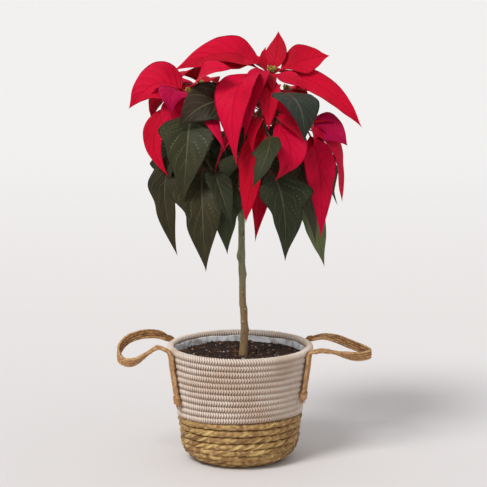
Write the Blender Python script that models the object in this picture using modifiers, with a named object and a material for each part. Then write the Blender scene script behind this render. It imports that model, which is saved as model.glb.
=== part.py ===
# A poinsettia grown as a small standard tree, in a planter basket of coiled rope.
# The basket is cotton rope above and seagrass rope below, with two looped handles,
# a plastic liner and potting soil. One woody trunk carries seven leafy shoots, and
# each shoot ends in a bloom of red bracts round its cyathia, the small true flowers.
#
# Lengths and places are in millimetres here, and angles in degrees. The front is -Y.

import math
import random

import bmesh
import bpy
from mathutils import Matrix, Quaternion, Vector
from mathutils.bvhtree import BVHTree

MM = 0.001
GAP = 0.35  # kept between pieces that touch
UP = Vector((0, 0, 1))

# Basket
BASKET_HEIGHT = 146.0
BASKET_DEPTH = 0.95  # front to back, as a share of its width
RIM_RADIUS = 92.0
JOIN_RADIUS = 78.8  # where the cotton rope meets the seagrass rope
JOIN_HEIGHT = 59.5
SHOULDER_RADIUS = 74.5  # where the lower wall starts to turn in
SHOULDER_HEIGHT = 28.0
FOOT_RADIUS = 45.0
WALL = 7.6  # thickness of the wall and of its rope
COTTON_ROWS = 11
SEAGRASS_ROWS = 9
GROOVE = 1.9  # depth of the groove between two rows
RIM_BEVEL = 3.0
TURN_STEPS = 22

# Liner and soil
LINER = 0.7  # thickness
LINER_TOP = 140.0
SOIL_TOP = 132.5
SOIL_BUMP = 1.6
SOIL_RINGS = 4

# Trunk and shoots
TRUNK_FOOT = 78.0
TRUNK_POINTS = 28
HOLE_RADIUS = 6.6
HOLE_CENTRE = 3.8
SHOOT_RADIUS = 2.6
SHOOT_POINTS = 9
SHOOT_LEAN = 50.0  # of a shoot's first stretch from the upright
CORE_RADIUS = 4.6
CORE_HEIGHT = 8.0
TUBE_SIDES = 8

# Cyathia
CYATHIA = 4
CUP_SIDES = 5
CYATHIUM_RADIUS = 2.3
CYATHIUM_HEIGHT = 5.6
CYATHIA_RING = 3.6

# Handles: a flat plait of two cords
CORD_RADIUS = 2.9
HANDLE_SPLAY = 24.5  # from the side of the basket to each leg
HANDLE_POINTS = 32
KNOT_SWELL = 1.22
KNOT_LENGTH = 9.0

# Blades: bracts and leaves
BLADE = 0.8  # thickness
CLEAR = 0.7  # kept between the faces of two blades
STALK = 1.7  # thickness of a blade's stalk
STALK_HALF = 1.1  # half the width of the stalk
BELLY = 0.85  # how slowly the outline fills from the stalk
TAPER = 1.35  # how drawn out it is at the tip
LOBE_SHARE = 0.40  # where along a leaf its side lobes stand
BRACT_STALK = 0.12  # share of the length
LEAF_STALK = 0.26
BRACT_STATIONS = (0.0, 0.14, 0.34, 0.57, 0.80, 1.0)  # rows of a blade that the front shows
LEAF_STATIONS = (0.0, 0.26, 0.40, 0.55, 0.68, 0.84, 1.0)
FILL_BRACT_STATIONS = (0.0, 0.14, 0.40, 0.70, 1.0)  # rows of the others
FILL_LEAF_STATIONS = (0.0, 0.26, 0.42, 0.60, 0.80, 1.0)
COLUMNS = 4  # strips across a blade that the front shows
FILL_COLUMNS = 2  # across the others
ROOT_ROWS = 3  # rows of a blade near its root, where blades of one node may join
PROBE_STEP = 5.0  # between the points of a blade that are tested for clearance
SEED = 12

# Swings that are tried, sideways and up or down, to bring a blade clear of the rest
SWING_STEP = 6
SEEN_SWING = 18
FILL_SWING = 48
HEAD_RADIUS = 138.0  # of the head at its back
HEAD_NARROW = 0.82  # its reach to the sides, as a share of that

# x, y, z and radius along the trunk
TRUNK = (
    (3.6, 0, TRUNK_FOOT, 5.0),
    (3.6, 0, 112, 5.4),
    (4.0, 0, 131, 5.5),
    (5.0, 0, 150, 4.9),
    (5.8, 0, 164, 4.9),
    (5.2, 0, 177, 4.5),
    (4.8, 0, 190, 4.7),
    (3.4, 0, 200, 4.3),
    (3.0, 0, 228, 4.2),
    (2.7, 0, 240, 4.6),
    (2.3, 0, 250, 4.2),
    (1.8, 0, 261, 4.8),
    (2.0, 0, 273, 4.2),
    (2.0, 0, 300, 4.1),
    (1.0, 0, 326, 4.5),
    (0.0, 0, 345, 4.7),
)

# Each shoot: centre of its bloom, height where it leaves the trunk, and lean at its end.
SHOOTS = {
    "top": ((37, -15, 485), 345, (0.15, -0.25, 1.0)),
    "left": ((-61, -10, 459), 337, (0.0, -0.5, 0.9)),
    "front": ((31, -70, 440), 329, (0.1, -0.6, 0.9)),
    "right": ((80, -20, 420), 339, (0.6, -0.2, 0.8)),
    "back_left": ((-48, 58, 462), 328, (-0.4, 0.5, 0.9)),
    "back_right": ((56, 52, 457), 325, (0.4, 0.5, 0.9)),
    "back": ((6, 78, 415), 337, (0.0, 0.7, 0.8)),
}

# Bracts that the front shows: shoot, shoulder, tip, width, roll about the midrib, wave.
SEEN_BRACTS = (
    ("top", (-38, -104, 505), (-3, -106, 384), 54, 10, 0.05),
    ("top", (-3, -25, 531), (-80, -42, 491), 52, -48, 0.04),
    ("top", (100, -18, 490), (149, -20, 420), 42, 42, 0.05),
    ("top", (48, 8, 508), (47, 15, 536), 28, 0, 0.04),
    ("top", (84, 0, 506), (110, 6, 506), 40, 50, 0.06),
    ("top", (23, -74, 512), (5, -98, 411), 26, -10, 0.06),
    ("top", (58, -48, 490), (78, -54, 470), 24, 25, 0.05),
    ("top", (24, -14, 500), (32, -18, 519), 13, 0, 0.04),
    ("top", (42, -46, 492), (40, -60, 463), 13, 0, 0.04),
    ("left", (-99, -6, 496), (-136, -8, 442), 54, -58, 0.05),
    ("left", (-90, -46, 481), (-80, -50, 440), 38, -25, 0.06),
    ("left", (-42, -86, 505), (-8, -89, 497), 32, 52, 0.05),
    ("left", (-127, -25, 415), (-86, -30, 361), 28, -25, 0.08),
    ("left", (-45, -90, 452), (-17, -94, 400), 20, 10, 0.08),
    ("front", (72, -112, 409), (41, -106, 367), 40, 0, 0.12),
    ("front", (58, -92, 446), (80, -98, 402), 22, 20, 0.06),
    ("front", (14, -98, 388), (7, -98, 315), 44, 0, 0.06),
    ("front", (10, -90, 440), (16, -100, 398), 22, 20, 0.06),
    ("right", (104, -18, 430), (131, -27, 399), 44, 55, 0.06),
    ("right", (104, -76, 392), (97, -70, 292), 38, 10, 0.07),
    ("right", (124, -26, 410), (125, -24, 329), 40, 20, 0.08),
    ("back", (24, 84, 380), (19, 52, 266), 42, 0, 0.04),
    ("top", (-11, -45, 516), (-60, -54, 498), 30, -20, 0.05),
    ("left", (-95, -24, 448), (-72, -30, 398), 34, -20, 0.05),
    ("front", (-12, -70, 432), (-30, -76, 372), 38, -10, 0.05),
    ("top", (32, -72, 470), (34, -98, 425), 27, 0, 0.06),
    ("right", (92, 14, 438), (118, 8, 380), 44, 20, 0.05),
)

# Leaves that it shows: shoot, share of the shoot where they leave it, then as above.
SEEN_LEAVES = (
    ("top", 0.80, (94, -116, 493), (75, -113, 413), 58, -8, 0.03),
    ("left", 0.80, (-57, -100, 464), (-67, -92, 340), 64, 0, 0.04),
    ("front", 0.50, (60, -112, 384), (54, -93, 268), 60, 0, 0.03),
    ("left", 0.45, (-65, -108, 386), (-40, -93, 255), 58, 0, 0.04),
    ("top", 0.70, (-36, -78, 480), (-72, -80, 428), 56, -55, 0.06),
    ("front", 0.88, (32, -146, 424), (14, -140, 363), 32, 20, 0.03),
    ("left", 0.30, (-20, -120, 388), (-9, -116, 313), 34, -15, 0.04),
    ("left", 0.62, (-112, -34, 382), (-76, -36, 264), 34, -30, 0.06),
    ("right", 0.45, (79, -34, 364), (104, -26, 249), 58, 30, 0.03),
    ("top", 0.12, (-20, -54, 351), (-15, -58, 270), 36, 0, 0.03),
    ("right", 0.62, (84, -60, 386), (92, -50, 282), 40, 0, 0.04),
)

# Bracts and leaves by rule: how many, their middle direction round Z and their spread.
FILL_BRACTS = {
    "top": (2, 95, 120),
    "left": (3, 130, 140),
    "right": (3, 15, 120),
    "back_left": (6, 135, 250),
    "back_right": (6, 43, 330),
    "back": (5, 88, 290),
}
FILL_LEAVES = {
    "top": (1, 80, 60),
    "left": (2, 170, 80),
    "right": (2, 10, 70),
    "back_left": (3, 135, 110),
    "back_right": (3, 40, 110),
    "back": (3, 105, 110),
}
INNER_LEAVES = {
    "top": (1, -100, 40),
    "left": (2, -60, 150),
    "front": (2, -150, 160),
    "right": (1, -100, 100),
    "back_left": (3, -60, 170),
    "back_right": (2, -130, 150),
    "back": (3, -90, 170),
}

# Loops of the handles, from the front leg round to the back one: x, y, z and how far
# the flat plait stands up on its edge.
LEFT_LOOP = (
    (-94, -33, 147, 0),
    (-103, -30, 148, 5),
    (-115, -26, 140, 25),
    (-130, -20, 129, 50),
    (-141, -12, 125, 70),
    (-150, -4, 128, 90),
    (-152, 4, 136, 90),
    (-147, 13, 144, 90),
    (-137, 20, 150, 85),
    (-121, 26, 153, 75),
    (-105, 30, 152, 50),
    (-94, 33, 147, 10),
)
RIGHT_LOOP = (
    (94, -33, 144, 0),
    (103, -29, 144, 0),
    (117, -24, 141, 15),
    (131, -20, 137, 45),
    (147, -13, 133, 80),
    (159, -6, 133, 90),
    (163, 0, 134, 90),
    (159, 6, 136, 90),
    (149, 13, 139, 85),
    (136, 19, 143, 70),
    (123, 25, 147, 45),
    (107, 30, 149, 15),
    (94, 33, 146, 0),
)
LEG_ENDS = {"left": 77.0, "right": 84.0}  # heights of the lower ends

COLOURS = {  # base colour, roughness
    "cotton": ((0.72, 0.62, 0.52), 0.9),
    "seagrass": ((0.45, 0.30, 0.13), 0.75),
    "plait": ((0.42, 0.26, 0.12), 0.8),
    "film": ((0.75, 0.73, 0.72), 0.45),
    "soil": ((0.035, 0.018, 0.012), 0.95),
    "bark": ((0.22, 0.18, 0.10), 0.75),
    "leaf": ((0.035, 0.055, 0.022), 0.55),
    "bract": ((0.60, 0.004, 0.028), 0.6),
    "cyathia": ((0.45, 0.42, 0.06), 0.5),
}


# Objects and meshes


def collection(name):
    made = bpy.data.collections.new(name)
    bpy.context.scene.collection.children.link(made)
    return made


def material(name):
    made = bpy.data.materials.get(name)
    if made:
        return made
    colour, roughness = COLOURS[name]
    made = bpy.data.materials.new(name)
    made.use_nodes = True
    shader = made.node_tree.nodes["Principled BSDF"]
    shader.inputs["Base Color"].default_value = (*colour, 1.0)
    shader.inputs["Roughness"].default_value = roughness
    shader.inputs["Metallic"].default_value = 0.0
    return made


def add_object(name, data, place, look=None):
    obj = bpy.data.objects.new(name, data)
    place.objects.link(obj)
    if look:
        data.materials.clear()
        data.materials.append(material(look))
    return obj


def add_mesh(name, bm, place, look=None):
    """An object of a bmesh that is in millimetres."""
    bmesh.ops.scale(bm, vec=(MM, MM, MM), verts=bm.verts)
    mesh = bpy.data.meshes.new(name)
    bm.to_mesh(mesh)
    bm.free()
    return add_object(name, mesh, place, look)


def evaluated_mesh(obj):
    graph = bpy.context.evaluated_depsgraph_get()
    return bpy.data.meshes.new_from_object(obj.evaluated_get(graph))


def curve_to_mesh(obj, look):
    """Turns a curve object into a mesh object of the same name, with its caps welded."""
    mesh = evaluated_mesh(obj)
    bm = bmesh.new()
    bm.from_mesh(mesh)
    bmesh.ops.remove_doubles(bm, verts=bm.verts, dist=0.01 * MM)
    bm.to_mesh(mesh)
    bm.free()
    name = obj.name
    place = obj.users_collection[0]
    bpy.data.objects.remove(obj)
    return add_object(name, mesh, place, look)


def keep_main_body(mesh):
    """Deletes every loose piece and sealed hollow but the largest body."""
    bm = bmesh.new()
    bm.from_mesh(mesh)
    bm.verts.ensure_lookup_table()
    seen = set()
    groups = []
    for start in bm.verts:
        if start in seen:
            continue
        group = [start]
        seen.add(start)
        for vert in group:
            for edge in vert.link_edges:
                other = edge.other_vert(vert)
                if other not in seen:
                    seen.add(other)
                    group.append(other)
        groups.append(group)
    groups.sort(key=len)
    for group in groups[:-1]:
        bmesh.ops.delete(bm, geom=group, context="VERTS")
    bm.to_mesh(mesh)
    bm.free()


def fuse(body, parts, look):
    """Joins a body and the parts that are rooted in it into one closed solid."""
    extras = collection(body.name + "_parts")
    for part in parts:
        for place in list(part.users_collection):
            place.objects.unlink(part)
        extras.objects.link(part)
    union = body.modifiers.new("Union", "BOOLEAN")
    union.operation = "UNION"
    union.operand_type = "COLLECTION"
    union.collection = extras
    mesh = evaluated_mesh(body)
    keep_main_body(mesh)
    for part in list(extras.objects):
        bpy.data.objects.remove(part)
    bpy.data.collections.remove(extras)
    body.modifiers.clear()
    body.data = mesh
    mesh.materials.clear()
    mesh.materials.append(material(look))
    return body


# Curves through points


def smooth_line(points, count):
    """Points evenly spaced along a smooth curve through the given ones."""
    ends = [2 * points[0] - points[1]] + list(points) + [2 * points[-1] - points[-2]]
    fine = []
    for a, b, c, d in zip(ends, ends[1:], ends[2:], ends[3:]):
        for step in range(12):
            t = step / 12
            part = 2 * b + (c - a) * t + (2 * a - 5 * b + 4 * c - d) * t**2
            fine.append((part + (3 * b - 3 * c + d - a) * t**3) / 2)
    fine.append(points[-1].copy())
    lengths = [0.0]
    for a, b in zip(fine, fine[1:]):
        lengths.append(lengths[-1] + (b - a).length)
    line = []
    k = 0
    for i in range(count):
        along = lengths[-1] * i / (count - 1)
        while k < len(fine) - 2 and lengths[k + 1] < along:
            k += 1
        share = (along - lengths[k]) / (lengths[k + 1] - lengths[k])
        line.append(fine[k].lerp(fine[k + 1], share))
    return line


def bezier(a, b, c, d, t):
    u = 1 - t
    return a * u**3 + b * (3 * u * u * t) + c * (3 * u * t * t) + d * t**3


def tube(name, line, radii, place, look):
    """A round tube through points, with a radius at each of them."""
    data = bpy.data.curves.new(name, "CURVE")
    data.dimensions = "3D"
    data.bevel_depth = MM
    data.bevel_resolution = (TUBE_SIDES - 4) // 2
    data.use_fill_caps = True
    spline = data.splines.new("POLY")
    spline.points.add(len(line) - 1)
    for point, place_at, radius in zip(spline.points, line, radii):
        point.co = (*(place_at * MM), 1)
        point.radius = radius
    return curve_to_mesh(add_object(name, data, place), look)


# Basket


def wall_radius(z):
    """Outer radius of the basket at a height, over the crests of the rope."""
    if z >= JOIN_HEIGHT:
        share = (z - JOIN_HEIGHT) / (BASKET_HEIGHT - JOIN_HEIGHT)
        return JOIN_RADIUS + (RIM_RADIUS - JOIN_RADIUS) * share
    share = (z - SHOULDER_HEIGHT) / (JOIN_HEIGHT - SHOULDER_HEIGHT)
    return SHOULDER_RADIUS + (JOIN_RADIUS - SHOULDER_RADIUS) * share


def base_line(share):
    """Radius and height on the seagrass wall, from the join (0) down to the foot (1)."""
    straight = JOIN_HEIGHT - SHOULDER_HEIGHT
    corner = math.pi / 2 * (SHOULDER_HEIGHT + SHOULDER_RADIUS - FOOT_RADIUS) / 2
    along = share * (straight + corner)
    if along <= straight:
        return wall_radius(JOIN_HEIGHT - along), JOIN_HEIGHT - along
    angle = (along - straight) / corner * math.pi / 2
    radius = FOOT_RADIUS + (SHOULDER_RADIUS - FOOT_RADIUS) * math.cos(angle)
    return radius, SHOULDER_HEIGHT * (1 - math.sin(angle))


def inner_line():
    """Inside of the basket, from the middle of its floor up to the rim."""
    return (
        (0.0, WALL),
        (FOOT_RADIUS - 2, WALL),
        (SHOULDER_RADIUS - WALL - 4.5, SHOULDER_HEIGHT * 0.55),
        (SHOULDER_RADIUS - WALL, SHOULDER_HEIGHT + 4),
        (JOIN_RADIUS - WALL, JOIN_HEIGHT),
        (RIM_RADIUS - WALL, BASKET_HEIGHT),
    )


def inset_line(line, depth, top):
    """The line moved inwards by a depth, with its last point at a height."""
    flat = [Vector(point) for point in line]
    moved = []
    for i, point in enumerate(flat):
        before = flat[max(i - 1, 0)]
        after = flat[min(i + 1, len(flat) - 1)]
        runs = [run.normalized() for run in (point - before, after - point) if run.length]
        normals = [Vector((-run.y, run.x)) for run in runs]
        middle = sum(normals, Vector((0, 0))).normalized()
        moved.append(point + middle * depth / middle.dot(normals[0]))
    last, rim = moved[-2], moved[-1]
    moved[-1] = last.lerp(rim, (top - last.y) / (rim.y - last.y))
    return [(point.x, point.y) for point in moved]


def turned(name, profile, look, place):
    """A solid turned round Z from a profile of radius and height, then made oval.

    The profile runs down its outer side. It is closed, or starts and ends on the axis.
    """
    bm = bmesh.new()
    points = [bm.verts.new((radius, 0, z)) for radius, z in profile]
    for a, b in zip(points, points[1:]):
        bm.edges.new((a, b))
    if profile[0][0] > 0:
        bm.edges.new((points[-1], points[0]))
    obj = add_mesh(name, bm, place, look)
    screw = obj.modifiers.new("Turn", "SCREW")
    screw.steps = TURN_STEPS
    screw.render_steps = TURN_STEPS
    screw.use_merge_vertices = True
    screw.merge_threshold = 0.00005
    obj.scale.y = BASKET_DEPTH
    return obj


def cotton_wall(place):
    """The upper wall: rows of cotton rope, one on another, as ridges."""
    floor = JOIN_HEIGHT + GAP
    pitch = (BASKET_HEIGHT - floor) / COTTON_ROWS
    outer = [(RIM_RADIUS - RIM_BEVEL, BASKET_HEIGHT)]
    for row in range(COTTON_ROWS):
        for drop, inset in ((0.5, 0.0), (1.0, GROOVE)):
            z = BASKET_HEIGHT - (row + drop) * pitch
            outer.append((wall_radius(z) - inset, z))
    inner = [(JOIN_RADIUS - WALL, floor)]
    inner.append((RIM_RADIUS - WALL * 1.03, BASKET_HEIGHT - RIM_BEVEL))
    inner.append((RIM_RADIUS - WALL + RIM_BEVEL * 0.8, BASKET_HEIGHT))
    return turned("basket_cotton_wall", outer + inner, "cotton", place)


def seagrass_base(place):
    """The lower wall and the floor: rows of seagrass rope that turn in to a flat foot."""
    outer = [(JOIN_RADIUS - GROOVE, JOIN_HEIGHT)]
    for row in range(SEAGRASS_ROWS):
        for drop, inset in ((0.5, 0.0), (1.0, GROOVE)):
            share = (row + drop) / SEAGRASS_ROWS
            here = Vector(base_line(share))
            run = Vector(base_line(min(1, share + 0.01))) - Vector(base_line(share - 0.01))
            inward = Vector((run.y, -run.x)).normalized()
            spot = here + inward * inset
            outer.append((spot.x, max(spot.y, 0.0)))
    outer[-1] = (FOOT_RADIUS - GROOVE, 0.0)
    profile = list(inner_line()[:-1]) + outer + [(0.0, 0.0)]
    return turned("basket_seagrass_base", profile, "seagrass", place)


def liner(place):
    """A thin plastic film against the wall and the floor."""
    outer = inset_line(inner_line(), GAP, LINER_TOP)
    inner = inset_line(inner_line(), GAP + LINER, LINER_TOP)
    return turned("liner", inner + outer[::-1], "film", place)


def soil(place):
    """Potting soil that fills the liner, with an uneven top and a hole for the trunk."""
    side = inset_line(inner_line(), 2 * GAP + LINER, SOIL_TOP)
    edge = side[-1][0]
    hole_floor = TRUNK_FOOT - GAP
    profile = [(0.0, hole_floor), (HOLE_RADIUS, hole_floor)]
    for ring in range(SOIL_RINGS):
        share = ring / SOIL_RINGS
        profile.append((HOLE_RADIUS + (edge - HOLE_RADIUS) * share, SOIL_TOP))
    obj = turned("soil", profile + side[::-1], "soil", place)
    mesh = evaluated_mesh(obj)
    obj.modifiers.clear()
    obj.data = mesh
    rng = random.Random(SEED)
    for vert in mesh.vertices:
        x, y, z = vert.co / MM
        radius = math.hypot(x, y)
        on_top = z > SOIL_TOP - 0.1
        in_hole = z > hole_floor - 0.1 and radius < HOLE_RADIUS + 0.1
        if on_top or in_hole:
            share = (edge - max(radius, HOLE_RADIUS)) / (edge - HOLE_RADIUS)
            x += HOLE_CENTRE * share
        if on_top and HOLE_RADIUS + 1 < radius < edge - 1:
            z += rng.uniform(-SOIL_BUMP, SOIL_BUMP)
        vert.co = Vector((x, y, z)) * MM
    return obj


# Handles


def handle_route(side, loop):
    """Centre points and width directions of a handle, from one leg's end to the other's."""
    sign = -1 if side == "left" else 1
    rest = CORD_RADIUS + GAP + 0.2
    legs = {}
    for end in (-1, 1):
        around = math.radians(HANDLE_SPLAY) * end
        bottom = LEG_ENDS[side]
        leg = []
        for share in (0.0, 0.33, 0.66, 0.93):
            z = bottom + (BASKET_HEIGHT - bottom) * share
            radius = wall_radius(z) + rest
            out = Vector((sign * math.cos(around), math.sin(around) * BASKET_DEPTH, 0))
            leg.append((out * radius + UP * z, 0))
        legs[end] = leg
    middle = [(Vector(point[:3]), point[3]) for point in loop]
    knots = legs[-1] + middle + legs[1][::-1]
    line = smooth_line([Vector((*place, stand)) for place, stand in knots], HANDLE_POINTS)
    route = []
    for i, here in enumerate(line):
        run = line[min(i + 1, len(line) - 1)] - line[max(i - 1, 0)]
        ahead = run.to_3d().normalized()
        place = here.to_3d()
        around = Vector((-place.y, place.x, 0)).normalized()
        if around.y * place.y < 0:
            around.negate()
        stand = math.radians(min(90.0, max(0.0, here.w)))
        across = around * math.cos(stand) + UP * math.sin(stand)
        across = (across - ahead * across.dot(ahead)).normalized()
        route.append((place, ahead, across))
    return route


def plait_section():
    """Outline of two cords side by side, as shares of the cord's radius."""
    return ((2, 0), (1, 1), (0, 0.75), (-1, 1), (-2, 0), (-1, -1), (0, -0.75), (1, -1))


def handle(side, loop, place):
    """A flat plait that turns on edge round its loop, with a knot at each leg's end."""
    route = handle_route(side, loop)
    bm = bmesh.new()
    rings = []
    total = sum((b[0] - a[0]).length for a, b in zip(route, route[1:]))
    along = 0.0
    for i, (centre, ahead, across) in enumerate(route):
        if i:
            along += (centre - route[i - 1][0]).length
        from_end = min(along, total - along)
        swell = 1 + (KNOT_SWELL - 1) * max(0.0, 1 - abs(from_end / KNOT_LENGTH - 0.6) / 0.6)
        flat = ahead.cross(across)
        ring = []
        for width, depth in plait_section():
            offset = across * width * swell + flat * depth
            ring.append(bm.verts.new(centre + offset * CORD_RADIUS))
        rings.append(ring)
    sides = len(rings[0])
    for a, b in zip(rings, rings[1:]):
        for k in range(sides):
            bm.faces.new((a[k], a[(k + 1) % sides], b[(k + 1) % sides], b[k]))
    bm.faces.new(rings[0][::-1])
    bm.faces.new(rings[-1])
    bmesh.ops.recalc_face_normals(bm, faces=bm.faces)
    return add_mesh("handle_" + side, bm, place, "plait")


# Trunk, shoots and cyathia


def trunk_line():
    points = [Vector(point) for point in TRUNK]
    line = smooth_line(points, TRUNK_POINTS)
    return [point.to_3d() for point in line], [point.w for point in line]


def trunk(place):
    line, radii = trunk_line()
    return tube("trunk", line, radii, place, "bark")


def shoot_line(name):
    """Points along a shoot, from just off the trunk to just under its bloom's core."""
    bloom, height, lean = SHOOTS[name]
    bloom = Vector(bloom)
    lean = Vector(lean).normalized()
    line, radii = trunk_line()
    near = min(range(len(line)), key=lambda i: abs(line[i].z - height))
    out = Vector((bloom.x, bloom.y, 0)).normalized()
    if name == "top":
        start = line[-1] + UP * GAP
        away = UP
    else:
        tilt = math.radians(SHOOT_LEAN)
        away = out * math.sin(tilt) + UP * math.cos(tilt)
        reach = radii[near] + GAP + 0.2 + SHOOT_RADIUS * math.cos(tilt)
        start = line[near] + out * reach
        start.z = height
    end = bloom - lean * (CORE_HEIGHT / 2 + GAP)
    pull = (end - start).length * 0.36
    controls = (start, start + away * pull, end - lean * pull, end)
    return [bezier(*controls, i / (SHOOT_POINTS - 1)) for i in range(SHOOT_POINTS)]


def ball(bm, radius, height, frame, sides, rings):
    """A ball with few faces, stretched to a height, in a frame."""
    shape = frame @ Matrix.Diagonal((radius, radius, height / 2, 1))
    bmesh.ops.create_uvsphere(bm, u_segments=sides, v_segments=rings, radius=1, matrix=shape)


def frame_at(centre, axis):
    return Matrix.Translation(centre) @ UP.rotation_difference(axis).to_matrix().to_4x4()


def core(name, place):
    """The end of a shoot, which the bracts grow from."""
    bloom, _, lean = SHOOTS[name]
    bm = bmesh.new()
    ball(bm, CORE_RADIUS, CORE_HEIGHT, frame_at(Vector(bloom), Vector(lean)), 6, 4)
    return add_mesh("bloom_" + name, bm, place, "bract")


def cyathia(name, place):
    """A tight cluster of small cups on a disc, in the middle of a bloom."""
    bloom, _, lean = SHOOTS[name]
    lean = Vector(lean).normalized()
    seat = Vector(bloom) + lean * (CORE_HEIGHT / 2 + GAP + 1.0)
    frame = frame_at(seat, lean)
    bm = bmesh.new()
    bmesh.ops.create_cone(
        bm,
        cap_ends=True,
        segments=6,
        radius1=CYATHIA_RING,
        radius2=CYATHIA_RING + 0.6,
        depth=2.0,
        matrix=frame,
    )
    disc = add_mesh("cyathia_" + name, bm, place, "cyathia")
    rng = random.Random(SEED + len(name))
    cups = []
    for i in range(CYATHIA):
        around = 2 * math.pi * i / (CYATHIA - 1)
        ring = CYATHIA_RING if i < CYATHIA - 1 else 0.0
        height = CYATHIUM_HEIGHT * rng.uniform(0.85, 1.15)
        spot = Vector((ring * math.cos(around), ring * math.sin(around), height * 0.42))
        bm = bmesh.new()
        ball(bm, CYATHIUM_RADIUS, height, frame @ Matrix.Translation(spot), CUP_SIDES, 3)
        cups.append(add_mesh("cup", bm, place))
    return fuse(disc, cups, "cyathia")


# Blades


def blade(node, root, shoulder, tip, width, roll, wave, seed, seen=False):
    """A bract or leaf: where it grows from, its midrib's curve and its own small ways."""
    rng = random.Random(seed)
    leafy = node.startswith("shoot")
    if leafy:
        stations = LEAF_STATIONS if seen else FILL_LEAF_STATIONS
    else:
        stations = BRACT_STATIONS if seen else FILL_BRACT_STATIONS
    return {
        "node": node,
        "root": Vector(root),
        "shoulder": Vector(shoulder),
        "tip": Vector(tip),
        "width": width,
        "roll": math.radians(roll),
        "wave": wave,
        "columns": COLUMNS if seen else FILL_COLUMNS,
        "stalk": LEAF_STALK if leafy else BRACT_STALK,
        "stations": stations,
        "lobes": [rng.uniform(0.0, 0.5) if leafy else rng.uniform(-0.05, 0.08) for _ in "lr"],
        "phases": [rng.uniform(0, 2 * math.pi) for _ in "lr"],
        "waves": rng.uniform(0.9, 1.4),
        "fold": rng.uniform(0.0, 0.3),
        "sway": rng.uniform(-0.05, 0.05),
    }


def half_width(spec, share, side):
    """Half of a blade's width at a share of its length, on its left (0) or right (1)."""
    if share <= spec["stalk"]:
        return STALK_HALF
    u = (share - spec["stalk"]) / (1 - spec["stalk"])
    peak = BELLY / (BELLY + TAPER)
    full = (u / peak) ** BELLY * ((1 - u) / (1 - peak)) ** TAPER
    lobe = math.exp(-(((u - LOBE_SHARE) / 0.09) ** 2))
    dip = math.exp(-(((u - LOBE_SHARE - 0.17) / 0.08) ** 2))
    full *= 1 + spec["lobes"][side] * (0.7 * lobe - 0.5 * dip)
    return max(spec["width"] / 2 * full, STALK_HALF * (1 - u))


def blade_rows(spec, turn=0.0, dip=0.0):
    """Points of the blade's middle surface, row by row from root to tip, after a swing."""
    root = spec["root"]
    reach = spec["tip"] - root
    radial = Vector((reach.x, reach.y, 0)).normalized()
    left = UP.cross(radial)
    swing = Quaternion(UP, math.radians(turn)) @ Quaternion(left, math.radians(dip))
    shoulder = root + swing @ (spec["shoulder"] - root)
    tip = root + swing @ (spec["tip"] - root)
    left = swing @ left
    length = (shoulder - root).length + (tip - shoulder).length
    rows = []
    for share in spec["stations"]:
        a = root.lerp(shoulder, share)
        b = shoulder.lerp(tip, share)
        ahead = (b - a).normalized()
        over = ahead.cross(left).normalized()
        side = over.cross(ahead)
        centre = a.lerp(b, share) + side * spec["sway"] * length * math.sin(math.pi * share)
        roll = Quaternion(ahead, spec["roll"] * min(1.0, share / 0.4))
        side = roll @ side
        over = roll @ over
        row = []
        for column in range(spec["columns"] + 1):
            v = 1 - 2 * column / spec["columns"]
            hand = 0 if v > 0 else 1
            reach = half_width(spec, share, hand)
            ripple = math.sin(2 * math.pi * spec["waves"] * share + spec["phases"][hand])
            rise = spec["fold"] * abs(v) * reach + spec["wave"] * spec["width"] * v * v * ripple
            if share <= spec["stalk"]:
                rise = 0.0
            row.append(centre + side * v * reach + over * rise * min(1.0, reach / 8))
        rows.append(row)
    return rows


def row_faces(rows):
    """The quads between the rows, each split the same way, as lists of point numbers."""
    faces = []
    wide = len(rows[0])
    for i in range(len(rows) - 1):
        for j in range(wide - 1):
            a = i * wide + j
            faces.append((a, a + 1, a + wide + 1))
            faces.append((a, a + wide + 1, a + wide))
    return faces


def surface(node, points, faces, halves, outer_from=0):
    """What a clearance test needs of a surface: its tree, its points and its bounds."""
    outer = [face for face in faces if min(face) >= outer_from]
    return {
        "node": node,
        "tree": BVHTree.FromPolygons(points, faces),
        "outer": BVHTree.FromPolygons(points, outer),
        "probes": probes(points, faces, halves),
        "outer_probes": probes(points, outer, halves),
        "low": [min(point[k] for point in points) for k in range(3)],
        "high": [max(point[k] for point in points) for k in range(3)],
    }


def probes(points, faces, halves):
    """Points spread over the faces, each with half the thickness there."""
    used = sorted({i for face in faces for i in face})
    found = [(points[i], halves[i]) for i in used]
    for face in faces:
        corners = [points[i] for i in face]
        half = min(halves[i] for i in face)
        if len(corners) != 3:
            found.append((sum(corners, Vector()) / len(corners), half))
            continue
        a, b, c = corners
        longest = max((a - b).length, (b - c).length, (c - a).length)
        parts = max(2, math.ceil(longest / PROBE_STEP))
        for i in range(parts + 1):
            for j in range(parts + 1 - i):
                spot = a + (b - a) * (i / parts) + (c - a) * (j / parts)
                found.append((spot, half))
    return found


def blade_surface(spec, rows):
    points = [point for row in rows for point in row]
    halves = []
    for share in spec["stations"]:
        halves += [(STALK if share <= spec["stalk"] else BLADE) / 2] * len(rows[0])
    return surface(spec["node"], points, row_faces(rows), halves, ROOT_ROWS * len(rows[0]))


def solid_surface(obj):
    points = [vert.co / MM for vert in obj.data.vertices]
    faces = [tuple(face.vertices) for face in obj.data.polygons]
    return surface(obj.name, points, faces, [0.0] * len(points))


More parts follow.
